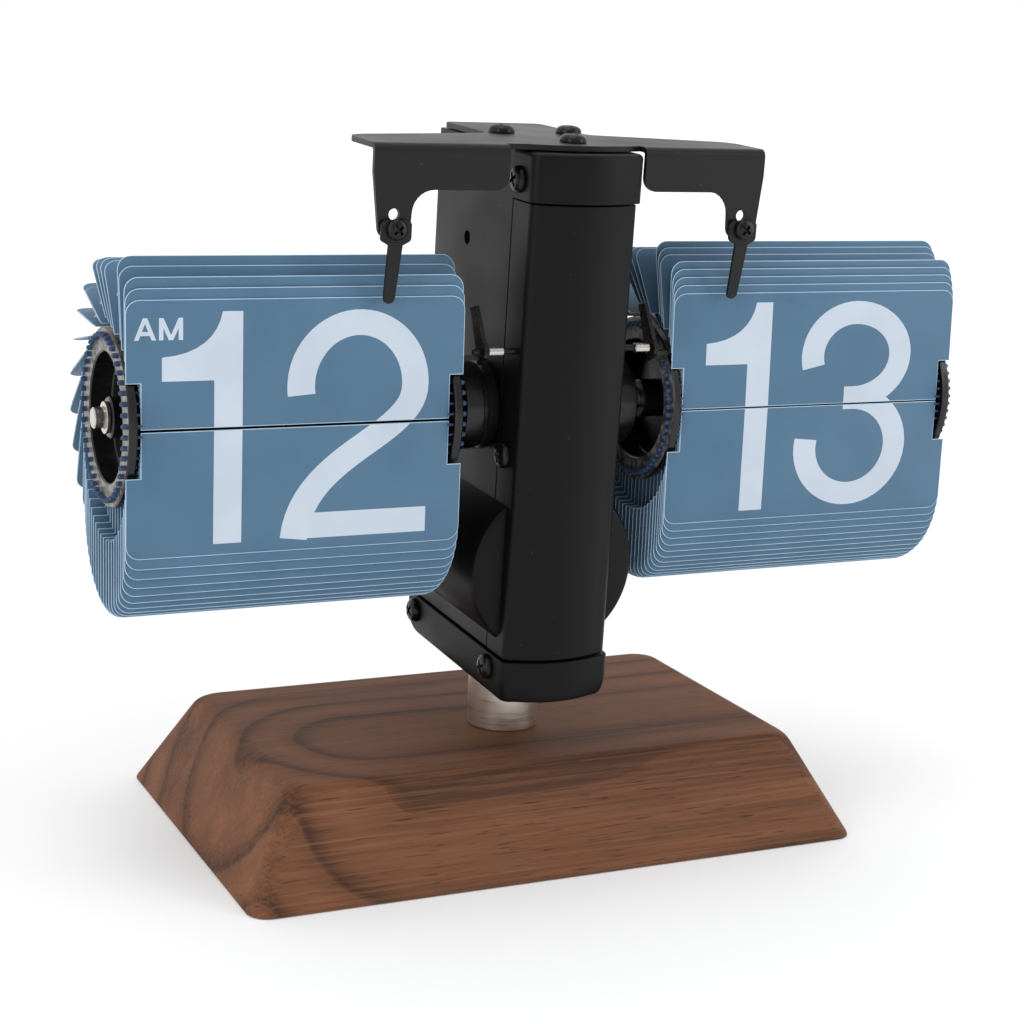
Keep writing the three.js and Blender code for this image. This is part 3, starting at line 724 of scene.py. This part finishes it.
def finger(node, name):
    """A thin steel finger: a head under the screw, and a strip that slopes back to the leaves."""
    low, high = box_in(COLUMN, node)
    x = (low.x + high.x) / 2
    thick = 0.8
    shoulder = 40.2
    half = (high.x - low.x) / 2
    strip, tip = 1.65, 1.3
    back = high.y - low.y - thick
    foot = low.z - FINGER_REACH
    left = [(x - half, high.z, 1.2), (x - half, shoulder + 0.6, 1.0), (x - strip, shoulder - 0.4, 0.5)]
    head = rounded(left + [(2 * x - a, b, radius) for a, b, radius in left[::-1]])

    def sloping(a, b, height):
        share = (shoulder - b) / (shoulder - foot)
        return (a, low.y + height + back * share, b)

    blade = [(x + strip, shoulder + 0.3), (x + tip, foot + tip)]
    blade += arc((x, foot + tip), tip, 0, -180, 8)[1:] + [(x - strip, shoulder + 0.3)]
    parts = [prism(head, low.y, low.y + thick, facing_front), prism(blade, 0, thick, sloping)]
    mesh_piece(name, parts, [SHEET_BLACK], [node], COLUMN, 0.12)


bracket()
finger("hour_finger", "hour_leaf_finger")
finger("minute_finger", "minute_leaf_finger")


# ---------- screws ----------
SCREW_RADIUS = 3.0
SCREW_RISE = 1.7
SHANK_RADIUS = 1.3


def pan_head():
    """A cross-recessed pan head, its seat at height 0 and its crown at SCREW_RISE."""
    radius, rise, flat_radius = SCREW_RADIUS, SCREW_RISE, 1.2
    rim = 0.35
    steps = 6
    crown = [(0, rise), (flat_radius, rise)]
    for i in range(1, steps + 1):
        angle = math.pi / 2 * i / steps
        out = flat_radius + (radius - flat_radius) * math.sin(angle)
        crown.append((out, rim + (rise - rim) * math.cos(angle)))
    profile = [(0, 0), (radius, 0)] + crown[::-1]
    head = turned(profile, (0, 0, 0), (0, 0, 1), 40)
    depth = 0.95
    slot = 0.42
    arm = 1.75
    cutters = []
    for long_x, long_y in ((arm, slot), (slot, arm)):
        outer = [(-long_x, -long_y), (long_x, -long_y), (long_x, long_y), (-long_x, long_y)]
        floor_level = [(a * 0.55, b * 0.8, rise - depth) for a, b in outer]
        mouth = [(a * 1.06, b * 1.04, rise + 0.2) for a, b in outer]
        cutters.append(stacked([floor_level, mouth]))
    return carved(head, cutters)


PAN_HEAD = pan_head()


def screw(node, outward, turn, size):
    """A pan-head screw facing outward: turn is how far round its cross stands, size scales its head."""
    low, high = box_in(COLUMN, node)
    facing = Vector(outward)
    seat = (low + high) / 2 + facing * (abs((high - low).dot(facing)) / 2 - SCREW_RISE)
    spin = Matrix.Rotation(math.radians(turn), 4, "Z") @ Matrix.Scale(size, 4)
    aim = Vector((0, 0, 1)).rotation_difference(facing).to_matrix().to_4x4()
    head = placed(Matrix.Translation(seat) @ aim @ spin, PAN_HEAD)
    length = max(high - low) - SCREW_RISE
    shank = rod(SHANK_RADIUS, seat, seat - facing * length, 0.3, 20)
    mesh_piece(node + "_black", [head, shank], [WORN], [node], COLUMN)


def screws():
    """Each row: nodes, which way they face, the turn of the first and the step to the next, and the size."""
    side = ("cap_screw_front", "cap_screw_rear", "shell_screw_middle", "shell_screw_top")
    top = ("bracket_screw_front", "bracket_screw_left", "bracket_screw_right")
    front = ("hour_finger_screw", "minute_finger_screw")
    rows = (
        (side, (-1, 0, 0), 25, 31, 1.0),
        (top, (0, 0, 1), 12, 37, 1.0),
        (front, (0, -1, 0), 40, 12, 0.78),
    )
    for nodes, outward, first, step, size in rows:
        for i, node in enumerate(nodes):
            screw(node, outward, first + step * i, size)


screws()


# ---------- figures ----------
FIGURE_HEIGHT = 49.5
FIGURE_FOOT = -24.8
STROKE_HALF = (3.1, 2.75)


def ribbon(path, half=STROKE_HALF, closed=False):
    """Quads along a centre line: half is half the stroke's width across X and across Z."""
    count = len(path)
    sides = []
    for i, (x, z) in enumerate(path):
        before = path[i - 1] if i or closed else path[0]
        after = path[(i + 1) % count] if i + 1 < count or closed else path[-1]
        along = (Vector(after) - Vector(before)).normalized()
        offset = Vector((-along.y * half[0], along.x * half[1]))
        sides.append(((x + offset.x, z + offset.y), (x - offset.x, z - offset.y)))
    pairs = zip(sides, sides[1:] + sides[:1] if closed else sides[1:])
    return [[right, after_right, after_left, left] for (left, right), (after_left, after_right) in pairs]


def ring_path(center, radii, squareness=2.0, steps=44):
    """A closed oval. A squareness above 2 fills its corners out."""
    power = 2 / squareness
    points = []
    for i in range(steps):
        angle = 2 * math.pi * i / steps
        cosine, sine = math.cos(angle), math.sin(angle)
        x = center[0] + radii[0] * math.copysign(abs(cosine) ** power, cosine)
        z = center[1] + radii[1] * math.copysign(abs(sine) ** power, sine)
        points.append((x, z))
    return points


def bar(x0, z0, x1, z1):
    return [(x0, z0), (x1, z0), (x1, z1), (x0, z1)]


def figure_one():
    flag = bezier((13, 49.5), (12, 44.2), (8, 40.6), (0, 40.1), 8)
    return 17.4, [[(11.2, 0), (17.4, 0), (17.4, 49.5), (13, 49.5)] + flag + [(0, 35.1), (11.2, 35.1)]]


def figure_two():
    path = ellipse((17.4, 33.2), (13.1, 13.5), 188, 0, 30)
    path += bezier((30.5, 33.2), (30.5, 29.4), (28.6, 27.3), (25.4, 24.6), 8)
    path += bezier((25.4, 24.6), (18.2, 18.8), (4.2, 13.6), (3.1, 0), 16)
    return 33.7, ribbon(path) + [[(5.6, 0), (33.7, 0), (33.7, 5.6), (6.6, 5.6)]]


def figure_three():
    upper = ellipse((15, 36.5), (11.8, 10.25), 195, 90, 14)
    upper += ellipse((15, 36.5), (13, 10.25), 90, -90, 22)[1:] + [(12.5, 26.25)]
    lower = ellipse((15.2, 14.5), (12.8, 11.75), 90, -190, 36)
    return 31.1, ribbon(upper) + ribbon(lower)


def figure_four():
    slope = [(0, 16.6), (6.6, 16.6), (21.4, 40.6), (21.4, 49.5), (20.6, 49.5), (0, 18.6)]
    return 33.5, [slope, bar(21.4, 0, 27.6, 49.5), bar(0, 11.1, 21.4, 16.6), bar(27.6, 11.1, 33.5, 16.6)]


def figure_five():
    bowl = ellipse((15.4, 16.2), (13, 13.4), 140, -170, 40)
    stem = [(1.6, 22.4), (7.4, 24.2), (10.3, 44), (10.3, 49.5), (5, 49.5)]
    return 31.5, ribbon(bowl) + [stem, bar(10.3, 44, 30.4, 49.5)]


def figure_six():
    neck = ellipse((16.8, 37.6), (11.6, 9.15), 4, 90, 10)
    neck += bezier((16.8, 46.75), (8, 46.75), (3.1, 37), (3.1, 17), 18)
    return 32.4, ribbon(neck) + ribbon(ring_path((16.2, 15.9), (13.1, 13.15)), closed=True)


def figure_seven():
    path = [(28.6, 46)] + bezier((28.6, 46), (20, 35), (13.4, 20), (12.2, 0), 16)
    return 32.0, ribbon(path) + [bar(0, 44, 28, 49.5), [(28, 44), (32, 44), (32, 49.5), (28, 49.5)]]


def figure_eight():
    upper = ring_path((16.3, 36.9), (11.5, 9.85))
    lower = ring_path((16.3, 14.9), (13.2, 12.15))
    return 32.6, ribbon(upper, closed=True) + ribbon(lower, closed=True)


def figure_nine():
    width, strokes = figure_six()
    return width, [[(width - x, FIGURE_HEIGHT - z) for x, z in stroke] for stroke in strokes]


def figure_zero():
    return 32.0, ribbon(ring_path((16, 24.75), (12.9, 22), 2.3, 56), closed=True)


def counter_clockwise(polygon):
    return polygon if signed_area(polygon) > 0 else polygon[::-1]


def united(polygons):
    """Polygons that may overlap, as triangles that do not."""
    points = []
    faces = []
    for polygon in polygons:
        faces.append(list(range(len(points), len(points) + len(polygon))))
        points += [Vector(point) for point in counter_clockwise(polygon)]
    corners, _, triangles, _, _, origins = delaunay_2d_cdt(points, [], faces, 1, 0.0001)
    kept = [triangle for triangle, origin in zip(triangles, origins) if origin]
    return [counter_clockwise([tuple(corners[i]) for i in triangle]) for triangle in kept]


LETTER_HEIGHT = 4.6
LETTER_STROKE = 0.95


def slanted(foot, head):
    """A straight stroke from foot to head, cut level at both ends."""
    foot_end, head_end = foot + LETTER_STROKE, head + LETTER_STROKE
    return [(foot, 0), (foot_end, 0), (head_end, LETTER_HEIGHT), (head, LETTER_HEIGHT)]


def letter_a():
    return 4.65, [slanted(0, 1.85), slanted(3.7, 1.85), bar(1.0, 0.95, 3.6, 1.8)]


def letter_m():
    width = 5.1
    right = width - LETTER_STROKE
    middle_foot = right / 2
    return width, [slanted(0, 0), slanted(middle_foot, 0), slanted(middle_foot, right), slanted(right, right)]


def letter_p():
    bowl = ellipse((2.2, 3.2), (1.25, 0.95), 90, -90, 10)
    path = [(0.4, bowl[0][1])] + bowl + [(0.4, bowl[-1][1])]
    return 3.95, ribbon(path, (LETTER_STROKE / 2, LETTER_STROKE / 2)) + [slanted(0, 0)]


def ready(shapes):
    """Figures or letters, the strokes of each made one."""
    return [(width, united(strokes)) for width, strokes in shapes]


FIGURES = ready((figure_zero(), figure_one(), figure_two(), figure_three(), figure_four()))
FIGURES += ready((figure_five(), figure_six(), figure_seven(), figure_eight(), figure_nine()))
LETTERS = dict(zip("AMP", ready((letter_a(), letter_m(), letter_p()))))


def side_by_side(shapes, left, bottom, gap, squeeze=1):
    """The polygons of figures or letters set out from left, their widths and gaps squeezed."""
    polygons = []
    for width, triangles in shapes:
        polygons += [[(left + a * squeeze, bottom + b) for a, b in triangle] for triangle in triangles]
        left += (width + gap) * squeeze
    return polygons


def number_print(number, middle_x):
    """The polygons of a number about the split line, centred on middle_x."""
    gap = 8.6
    widest = 67
    digits = [FIGURES[int(digit)] for digit in number]
    total = sum(width for width, _ in digits) + gap * (len(digits) - 1)
    squeeze = min(1, widest / total)
    return side_by_side(digits, middle_x - total * squeeze / 2, FIGURE_FOOT, gap, squeeze)


def half_day_print(letters, left):
    """AM or PM in the upper left corner."""
    bottom = 18.9
    gap = 0.6
    return side_by_side([LETTERS[name] for name in letters], left, bottom, gap)


def clipped(polygon, side, margin):
    """The part of a polygon on one side of the split line: side is 1 above it and -1 below."""
    kept = []
    for here, after in zip(polygon, polygon[1:] + polygon[:1]):
        depth = side * here[1] - margin
        next_depth = side * after[1] - margin
        if depth >= 0:
            kept.append(here)
        if depth * next_depth < 0:
            share = depth / (depth - next_depth)
            kept.append((here[0] + (after[0] - here[0]) * share, side * margin))
    return kept


# ---------- drums ----------
DISC_RADIUS = 19.4
DISC_RECESS = 14.1
DISC_RIM = 1.9
DISC_DEPTH = 6.2
DISC_WALL = 1.1
DISC_HUB = 4.5
DISC_PROUD = 0.6
HUB_SUNK = 0.5
AXLE_BORE = 2.5
PIN_CIRCLE = 17.76
PIN_RADIUS = 0.58
PIN_END = 1.3
PIN_NECK = 0.3
LEAF_LENGTH = 26.1
LEAF_THICKNESS = 0.19
LEAF_CORNER = 3
NOTCH_WIDTH = 3.2
NOTCH_HEIGHT = 8.8
SIDE_GAP = 0.3
SPLIT_HALF = {"hour": 0.28, "minute": 0.18}
PRINT_PROUD = 0.012
EDGE = 0.15
BUNDLE = 2
HANGING_FROM = 180
FIRST_MINUTE = 13
HOUR_MIDDLE = -64.1
MINUTE_MIDDLE = 63.65
HALF_DAY_LEFT = -99.8

# How the upper leaves lean back, in stretches up the drum: where a stretch ends, then the lean at its
# start and at its end. Behind the last stretch the leaves lie on the drum in bundles of BUNDLE.
FANS = {
    "hour": ((22.5, 1.0, 2.0), (37.5, 10.0, 10.0), (67.5, 31.5, 53.0)),
    "minute": ((30, 1.3, 2.4), (48, 13.5, 13.5), (72, 33.0, 49.0)),
}

# Each group of leaves rides on one modelled leaf: its name, its count of hour leaves and of minute leaves.
LEAF_GROUPS = [
    ("upper_front", 1, 1),
    ("upper_standing", 4, 7),
    ("upper_leaning", 5, 5),
    ("top_lying", 7, 8),
    ("back_lying", 7, 9),
    ("back_hanging", 6, 8),
    ("lower_back", 4, 4),
    ("lower_bottom", 5, 6),
    ("lower_middle", 4, 5),
    ("lower_behind", 4, 6),
    ("lower_front", 1, 1),
]


class Drum:
    """One drum: where its two end faces are, its leaf pitch in degrees and how its leaves stand."""

    def __init__(self, name):
        self.name = name
        outer_low, outer_high = box_in(UPRIGHT, name + "_disc_outer")
        inner_low, inner_high = box_in(UPRIGHT, name + "_disc_inner")
        self.outward = math.copysign(1, outer_low.x)
        far, near = (outer_high.x, inner_low.x) if self.outward > 0 else (outer_low.x, inner_high.x)
        self.outer = far - self.outward * DISC_PROUD
        self.inner = near + self.outward * DISC_PROUD
        self.pitch = JOINTS[name + "_drum_turn"]["range_deg"][1]
        self.pin_step = 2 * PIN_CIRCLE * math.sin(math.radians(self.pitch) / 2)
        self.split_half = SPLIT_HALF[name]

    def lean(self, place):
        """How far back from upright the leaf at a place leans when it has settled, in degrees."""
        start = 0
        for end, first, last in FANS[self.name]:
            if place < end:
                return first + (last - first) * (place - start) / (end - start)
            start = end
        dip = PIN_CIRCLE * (1 - math.cos(math.radians(self.pitch)))
        rest = math.degrees(math.asin((LEAF_THICKNESS - dip) / self.pin_step))
        behind = round((place - start) / self.pitch - 0.5)
        first = place - behind % BUNDLE * self.pitch
        return first - rest if place <= HANGING_FROM else 180

    def pin(self, place):
        angle = math.radians(place)
        return AXLE + Vector((0, -PIN_CIRCLE * math.cos(angle), PIN_CIRCLE * math.sin(angle)))

    def leaf_place(self, index):
        """The matrix that puts a leaf, drawn upright with its pins on the X axis, at its place."""
        place = (index + 0.5) * self.pitch
        return Matrix.Translation(self.pin(place)) @ Matrix.Rotation(-math.radians(self.lean(place)), 4, "X")


def leaf_print(drum, index):
    """The polygons of the number that a leaf at this index carries, counted from the front leaf."""
    if drum.name == "minute":
        return number_print(f"{(FIRST_MINUTE + index) % 60:02d}", MINUTE_MIDDLE)
    hour = index // 2 % 24
    digits = number_print(str(hour % 12 or 12), HOUR_MIDDLE)
    return digits + half_day_print("AM" if hour < 12 else "PM", HALF_DAY_LEFT)


def inset(outline, distance):
    """An outline drawn in by a distance, corner by corner."""
    points = []
    count = len(outline)
    for i, here in enumerate(outline):
        before = (Vector(here) - Vector(outline[i - 1])).normalized()
        after = (Vector(outline[(i + 1) % count]) - Vector(here)).normalized()
        inward = Vector((-before.y, before.x)) + Vector((-after.y, after.x))
        inward *= distance / max(0.5, inward.length_squared / 2)
        points.append((here[0] + inward.x, here[1] + inward.y))
    return points


def leaf_outline(drum):
    left = min(drum.outer, drum.inner) - SIDE_GAP
    right = max(drum.outer, drum.inner) + SIDE_GAP
    root = drum.pin_step / 2 - drum.split_half
    corners = [(left + NOTCH_WIDTH, -root, 0), (right - NOTCH_WIDTH, -root, 0)]
    corners += [(right - NOTCH_WIDTH, NOTCH_HEIGHT, 0), (right, NOTCH_HEIGHT, 0)]
    corners += [(right, LEAF_LENGTH, LEAF_CORNER), (left, LEAF_LENGTH, LEAF_CORNER)]
    corners += [(left, NOTCH_HEIGHT, 0), (left + NOTCH_WIDTH, NOTCH_HEIGHT, 0)]
    return rounded(corners, 6)


def leaf_sheet(drum):
    """The bare sheet, chamfered towards both faces, with a painted highlight in pale colour on its edges."""
    outline = leaf_outline(drum)
    drawn_in = inset(outline, EDGE)
    half = LEAF_THICKNESS / 2
    chamfer = half * 0.7
    levels = [(drawn_in, half), (outline, half - chamfer), (outline, chamfer - half), (drawn_in, -half)]
    vertices, faces, _ = stacked([[(x, y, z) for x, z in points] for points, y in levels])
    # Index 1 gives the chamfers and rims the painted edge highlight.
    indices = [0] + [1] * (len(faces) - 2) + [0]
    return vertices, faces, indices


def leaf_pins(drum):
    """The pin at each end of the root: a rounded head outside the disc, on a thin neck through it."""
    parts = []
    length = PIN_END + NOTCH_WIDTH
    for face, outward in ((drum.outer, drum.outward), (drum.inner, -drum.outward)):
        start = face + outward * PIN_END
        profile = [(0, 0), (PIN_RADIUS * 0.6, 0.07), (PIN_RADIUS, 0.4), (PIN_RADIUS, PIN_END)]
        profile += [(PIN_NECK, PIN_END), (PIN_NECK, length), (0, length)]
        parts.append(turned(profile, (start, 0, 0), (-outward, 0, 0), 10, 3))
    return parts


def printed_face(polygons, side, drum):
    """The upper (side 1) or lower (side -1) half of a number, on a leaf's front or on its back."""
    first_pin = drum.pin_step / 2
    depth = -side * (LEAF_THICKNESS / 2 + PRINT_PROUD)
    vertices = []
    faces = []
    for polygon in polygons:
        kept = clipped(polygon, side, drum.split_half + EDGE)
        if len(kept) < 3:
            continue
        faces.append(tuple(range(len(vertices), len(vertices) + len(kept))))
        vertices += [(x, depth, side * z - first_pin) for x, z in kept]
    return vertices, faces, 2


def leaves(drum):
    bare = [leaf_sheet(drum)] + leaf_pins(drum)
    index = 0
    for group in LEAF_GROUPS:
        count = group[1] if drum.name == "hour" else group[2]
        parts = []
        for _ in range(count):
            upper = printed_face(leaf_print(drum, index), 1, drum)
            lower = printed_face(leaf_print(drum, index + 1), -1, drum)
            place = drum.leaf_place(index)
            parts += [placed(place, part) for part in bare + [upper, lower]]
            index += 1
        node = drum.name + "_leaf_" + group[0]
        mesh_piece(node + "_set", parts, [LEAF, LEAF_EDGE_HIGHLIGHT, PRINT, LEAF_PIN], [node])


def disc(name, node, face, inward):
    """An end disc: a rim that holds the pins, a cup, its floor and a hub. The rim's face carries a painted
    grey reflection.
    """
    cup = DISC_RECESS
    back = cup + DISC_WALL
    floor_height = DISC_DEPTH - DISC_WALL
    soft = 0.3
    corners = [(AXLE_BORE, HUB_SUNK, 0), (DISC_HUB, HUB_SUNK, soft), (DISC_HUB, floor_height, 0)]
    corners += [(cup, floor_height, soft), (cup, 0, soft), (DISC_RADIUS, 0, soft)]
    corners += [(DISC_RADIUS, DISC_RIM, soft), (back, DISC_RIM, 0), (back, DISC_DEPTH, soft)]
    profile = softened(corners + [(AXLE_BORE, DISC_DEPTH, 0)])
    segments = 96
    rim_row = 7
    center = AXLE + Vector((face, 0, 0))
    vertices, faces, _ = turned(profile, center, (inward, 0, 0), segments)
    # The rim's face takes the material with the painted reflection.
    indices = [1 if rim_row * segments <= i < (rim_row + 1) * segments else 0 for i in range(len(faces))]
    mesh_piece(name, [(vertices, faces, indices)], [GLOSS, RIM], [node])


def axle_and_clip(drum):
    low, high = box_in(UPRIGHT, drum.name + "_axle")
    radius = (high.z - low.z) / 2
    shaft = rod(radius, (low.x, AXLE.y, AXLE.z), (high.x, AXLE.y, AXLE.z), 0.3, 48)
    mesh_piece(drum.name + "_shaft", [shaft], [STEEL], [drum.name + "_axle"])
    low, high = box_in(UPRIGHT, drum.name + "_axle_clip")
    clip_radius = (high.z - low.z) / 2
    outline = arc(AXLE.yz, clip_radius, 30, 330, 28) + arc(AXLE.yz, AXLE_BORE - 0.1, 330, 30, 28)
    inward = -drum.outward * (DISC_PROUD + HUB_SUNK)
    clip = prism(outline, low.x + inward, high.x + inward, facing_side)
    node = drum.name + "_axle_clip"
    mesh_piece(drum.name + "_retaining_clip", [clip], [STEEL], [node], bevel=0.12)


def bearing(side_name, outward):
    """The black bearing boss beside the column: a drum with a ribbed face and a thinner neck."""
    low, high = box_in(COLUMN, side_name + "_bearing")
    start = min(abs(low.x), abs(high.x))
    length = high.x - low.x
    radius = (high.z - low.z) / 2
    neck = 5
    shoulder = 8.5
    soft = 0.4
    front = [(AXLE_BORE, 0, 0), (radius, 0, soft)]
    rib = [(radius, 2.4, 0), (radius - soft, 2.8, 0), (radius - soft, 3.6, 0), (radius, 4, 0)]
    rear = [(radius, shoulder, soft), (neck, shoulder, 0), (neck, length, soft), (AXLE_BORE, length, 0)]
    profile = softened(front + rib + rear)
    part = turned(profile, (outward * start, 0, 0), (outward, 0, 0), 64)
    mesh_piece(side_name + "_bearing_boss", [part], [GLOSS], [side_name + "_bearing"], COLUMN)


def pawl_rod():
    """The pawls' rod: thin and dark, with a bright bushing beside each pawl."""
    low, high = box_in(COLUMN, "pawl_rod")
    y, z = (low.y + high.y) / 2, (low.z + high.z) / 2
    spindle_radius = 0.7
    bushing_radius = 1.1
    bushing_end = high.x - 3.5
    bushing_start = bushing_end - 3.8
    parts = [rod(spindle_radius, (low.x, y, z), (high.x, y, z), 0.15, 24)]
    for side in (-1, 1):
        bushing = ((side * bushing_end, y, z), (side * bushing_start, y, z))
        parts.append(rod(bushing_radius, *bushing, 0.2, 32, 1))
    mesh_piece("pawl_spindle", parts, [WORN, STEEL], ["pawl_rod"], COLUMN)


for drum_name in ("hour", "minute"):
    drum = Drum(drum_name)
    leaves(drum)
    disc(drum_name + "_end_disc", drum_name + "_disc_outer", drum.outer, -drum.outward)
    disc(drum_name + "_column_disc", drum_name + "_disc_inner", drum.inner, drum.outward)
    axle_and_clip(drum)
    bearing(drum_name, drum.outward)
pawl_rod()


# ---------- back of the column ----------
def knob():
    """The time-setting knob: finely fluted, with chamfered ends and a dished face."""
    low, high = box_in(COLUMN, "time_set_knob")
    center_z = (low.z + high.z) / 2
    radius = (high.z - low.z) / 2
    flutes = 20
    flute_depth = 0.55
    length = 8
    start = high.y - length

    def section(y, scale):
        points = []
        steps = flutes * 6
        for i in range(steps):
            angle = 2 * math.pi * i / steps
            cut = flute_depth * (0.5 + 0.5 * math.cos(flutes * angle)) ** 2
            out = (radius - cut) * scale
            points.append((out * math.cos(angle), y, center_z - out * math.sin(angle)))
        return points

    rise = ((0, 0.92), (0.6, 1), (length - 0.7, 1), (length - 0.15, 0.94), (length, 0.86))
    sections = [section(start + y, scale) for y, scale in rise]
    sections += [section(high.y - 0.5, 0.72)]
    stem = rod(1.5, (0, low.y, center_z), (0, start + 1, center_z), 0.2, 24)
    parts = [stacked(sections), stem]
    mesh_piece("time_knob", parts, [GLOSS], ["time_set_knob"], COLUMN)


def door():
    """The battery door: a rounded disc on a plug, with a coin slot and a shallow ring."""
    low, high = box_in(COLUMN, "battery_door")
    radius = (high.x - low.x) / 2
    center = (0, low.y, (low.z + high.z) / 2)
    depth = high.y - low.y
    flange = 2
    seat = depth - flange
    plug = 18.6
    soft = 0.6
    shallow = depth - 0.35
    rim = [(radius, depth - soft), (radius - soft * 0.3, depth - soft * 0.3), (radius - soft, depth)]
    ring = [(radius - 3, depth), (radius - 3.3, shallow), (radius - 3.9, shallow), (radius - 4.2, depth)]
    profile = softened([(0, 0, 0), (plug, 0, 0.2), (plug, seat, 0), (radius, seat, 0.2), (*rim[0], 0)])
    profile += rim[1:] + ring + [(0, depth)]
    body = turned(profile, center, (0, 1, 0), 96)
    slot_half, slot_end, slot_depth = 9, 1.5, 1.2
    slot_outline = arc((slot_half - slot_end, center[2]), slot_end, -90, 90, 10)
    slot_outline += arc((slot_end - slot_half, center[2]), slot_end, 90, 270, 10)
    slot = prism(slot_outline, high.y - slot_depth, high.y + 1, facing_front)
    mesh_piece("battery_cover", [carved(body, [slot])], [GLOSS], ["battery_door"], COLUMN)


knob()
door()


def finish_carried_nodes():
    """CAD nodes whose shape is right as it is take their material here."""
    looks = {
        "base_bolt": STEEL,
        "movement": MOVEMENT_PLASTIC,
        "motor_pinion": BRASS,
        "minute_gear": BRASS,
        "battery_cell": CELL_SLEEVE,
        "hour_pawl": WORN,
        "minute_pawl": WORN,
    }
    for node, material in looks.items():
        data = frame["nodes"][node].data
        data.materials.clear()
        data.materials.append(material)


finish_carried_nodes()


# ---------- stage ----------
def floor():
    """A pale floor that fades into the white surround."""
    size = 30.0
    mesh = bpy.data.meshes.new("floor")
    corners = [(-size, -size, 0), (size, -size, 0), (size, size, 0), (-size, size, 0)]
    mesh.from_pydata(corners, [], [(0, 1, 2, 3)])
    pale = Shader("pale_floor", (0.93, 0.93, 0.93, 1), 0.7, specular=0.2)
    pale.roughness(pale.noise(12), 0.62, 0.78)
    away = pale.add("VectorMath", {"Vector": pale.place})
    away.operation = "LENGTH"
    pale.set("Emission Color", (1, 1, 1, 1))
    pale.set("Emission Strength", pale.spread(away.outputs["Value"], 0.05, 0.3, 0.15, 0.9))
    mesh.materials.append(pale.material)
    piece = bpy.data.objects.new("floor", mesh)
    bpy.context.scene.collection.objects.link(piece)


def area_light(name, location, target, size, power):
    data = bpy.data.lights.new(name, "AREA")
    data.shape = "RECTANGLE"
    data.size, data.size_y = size
    data.energy = power
    light = bpy.data.objects.new(name, data)
    aim = Vector(target) - Vector(location)
    light.matrix_world = Matrix.Translation(location) @ aim.to_track_quat("-Z", "Y").to_matrix().to_4x4()
    bpy.context.scene.collection.objects.link(light)


def studio_world():
    """A white surround, dimmer behind the viewer."""
    world = bpy.data.worlds.new("studio")
    bpy.context.scene.world = world
    world.use_nodes = True
    surround = Nodes(world.node_tree)
    place = surround.add("TexCoord", {}).outputs["Generated"]
    depth = surround.add("SeparateXYZ", {"Vector": place}).outputs["Y"]
    background = surround.nodes["Background"].inputs
    surround.plug(background["Color"], (1, 1, 1, 1))
    surround.plug(background["Strength"], surround.spread(depth, 0.65, 1.0, -0.7, 0.1))


def lights():
    target = (0, 0, 0.09)
    area_light("softbox_top", (-0.1, -0.1, 0.9), target, (0.45, 0.45), 1.2)
    area_light("softbox_left", (-0.9, -0.6, 0.5), target, (0.25, 0.9), 2.2)
    area_light("softbox_right", (0.9, -0.7, 0.5), target, (0.25, 0.9), 3.6)
    bpy.context.scene.view_settings.view_transform = "Standard"


floor()
studio_world()
lights()
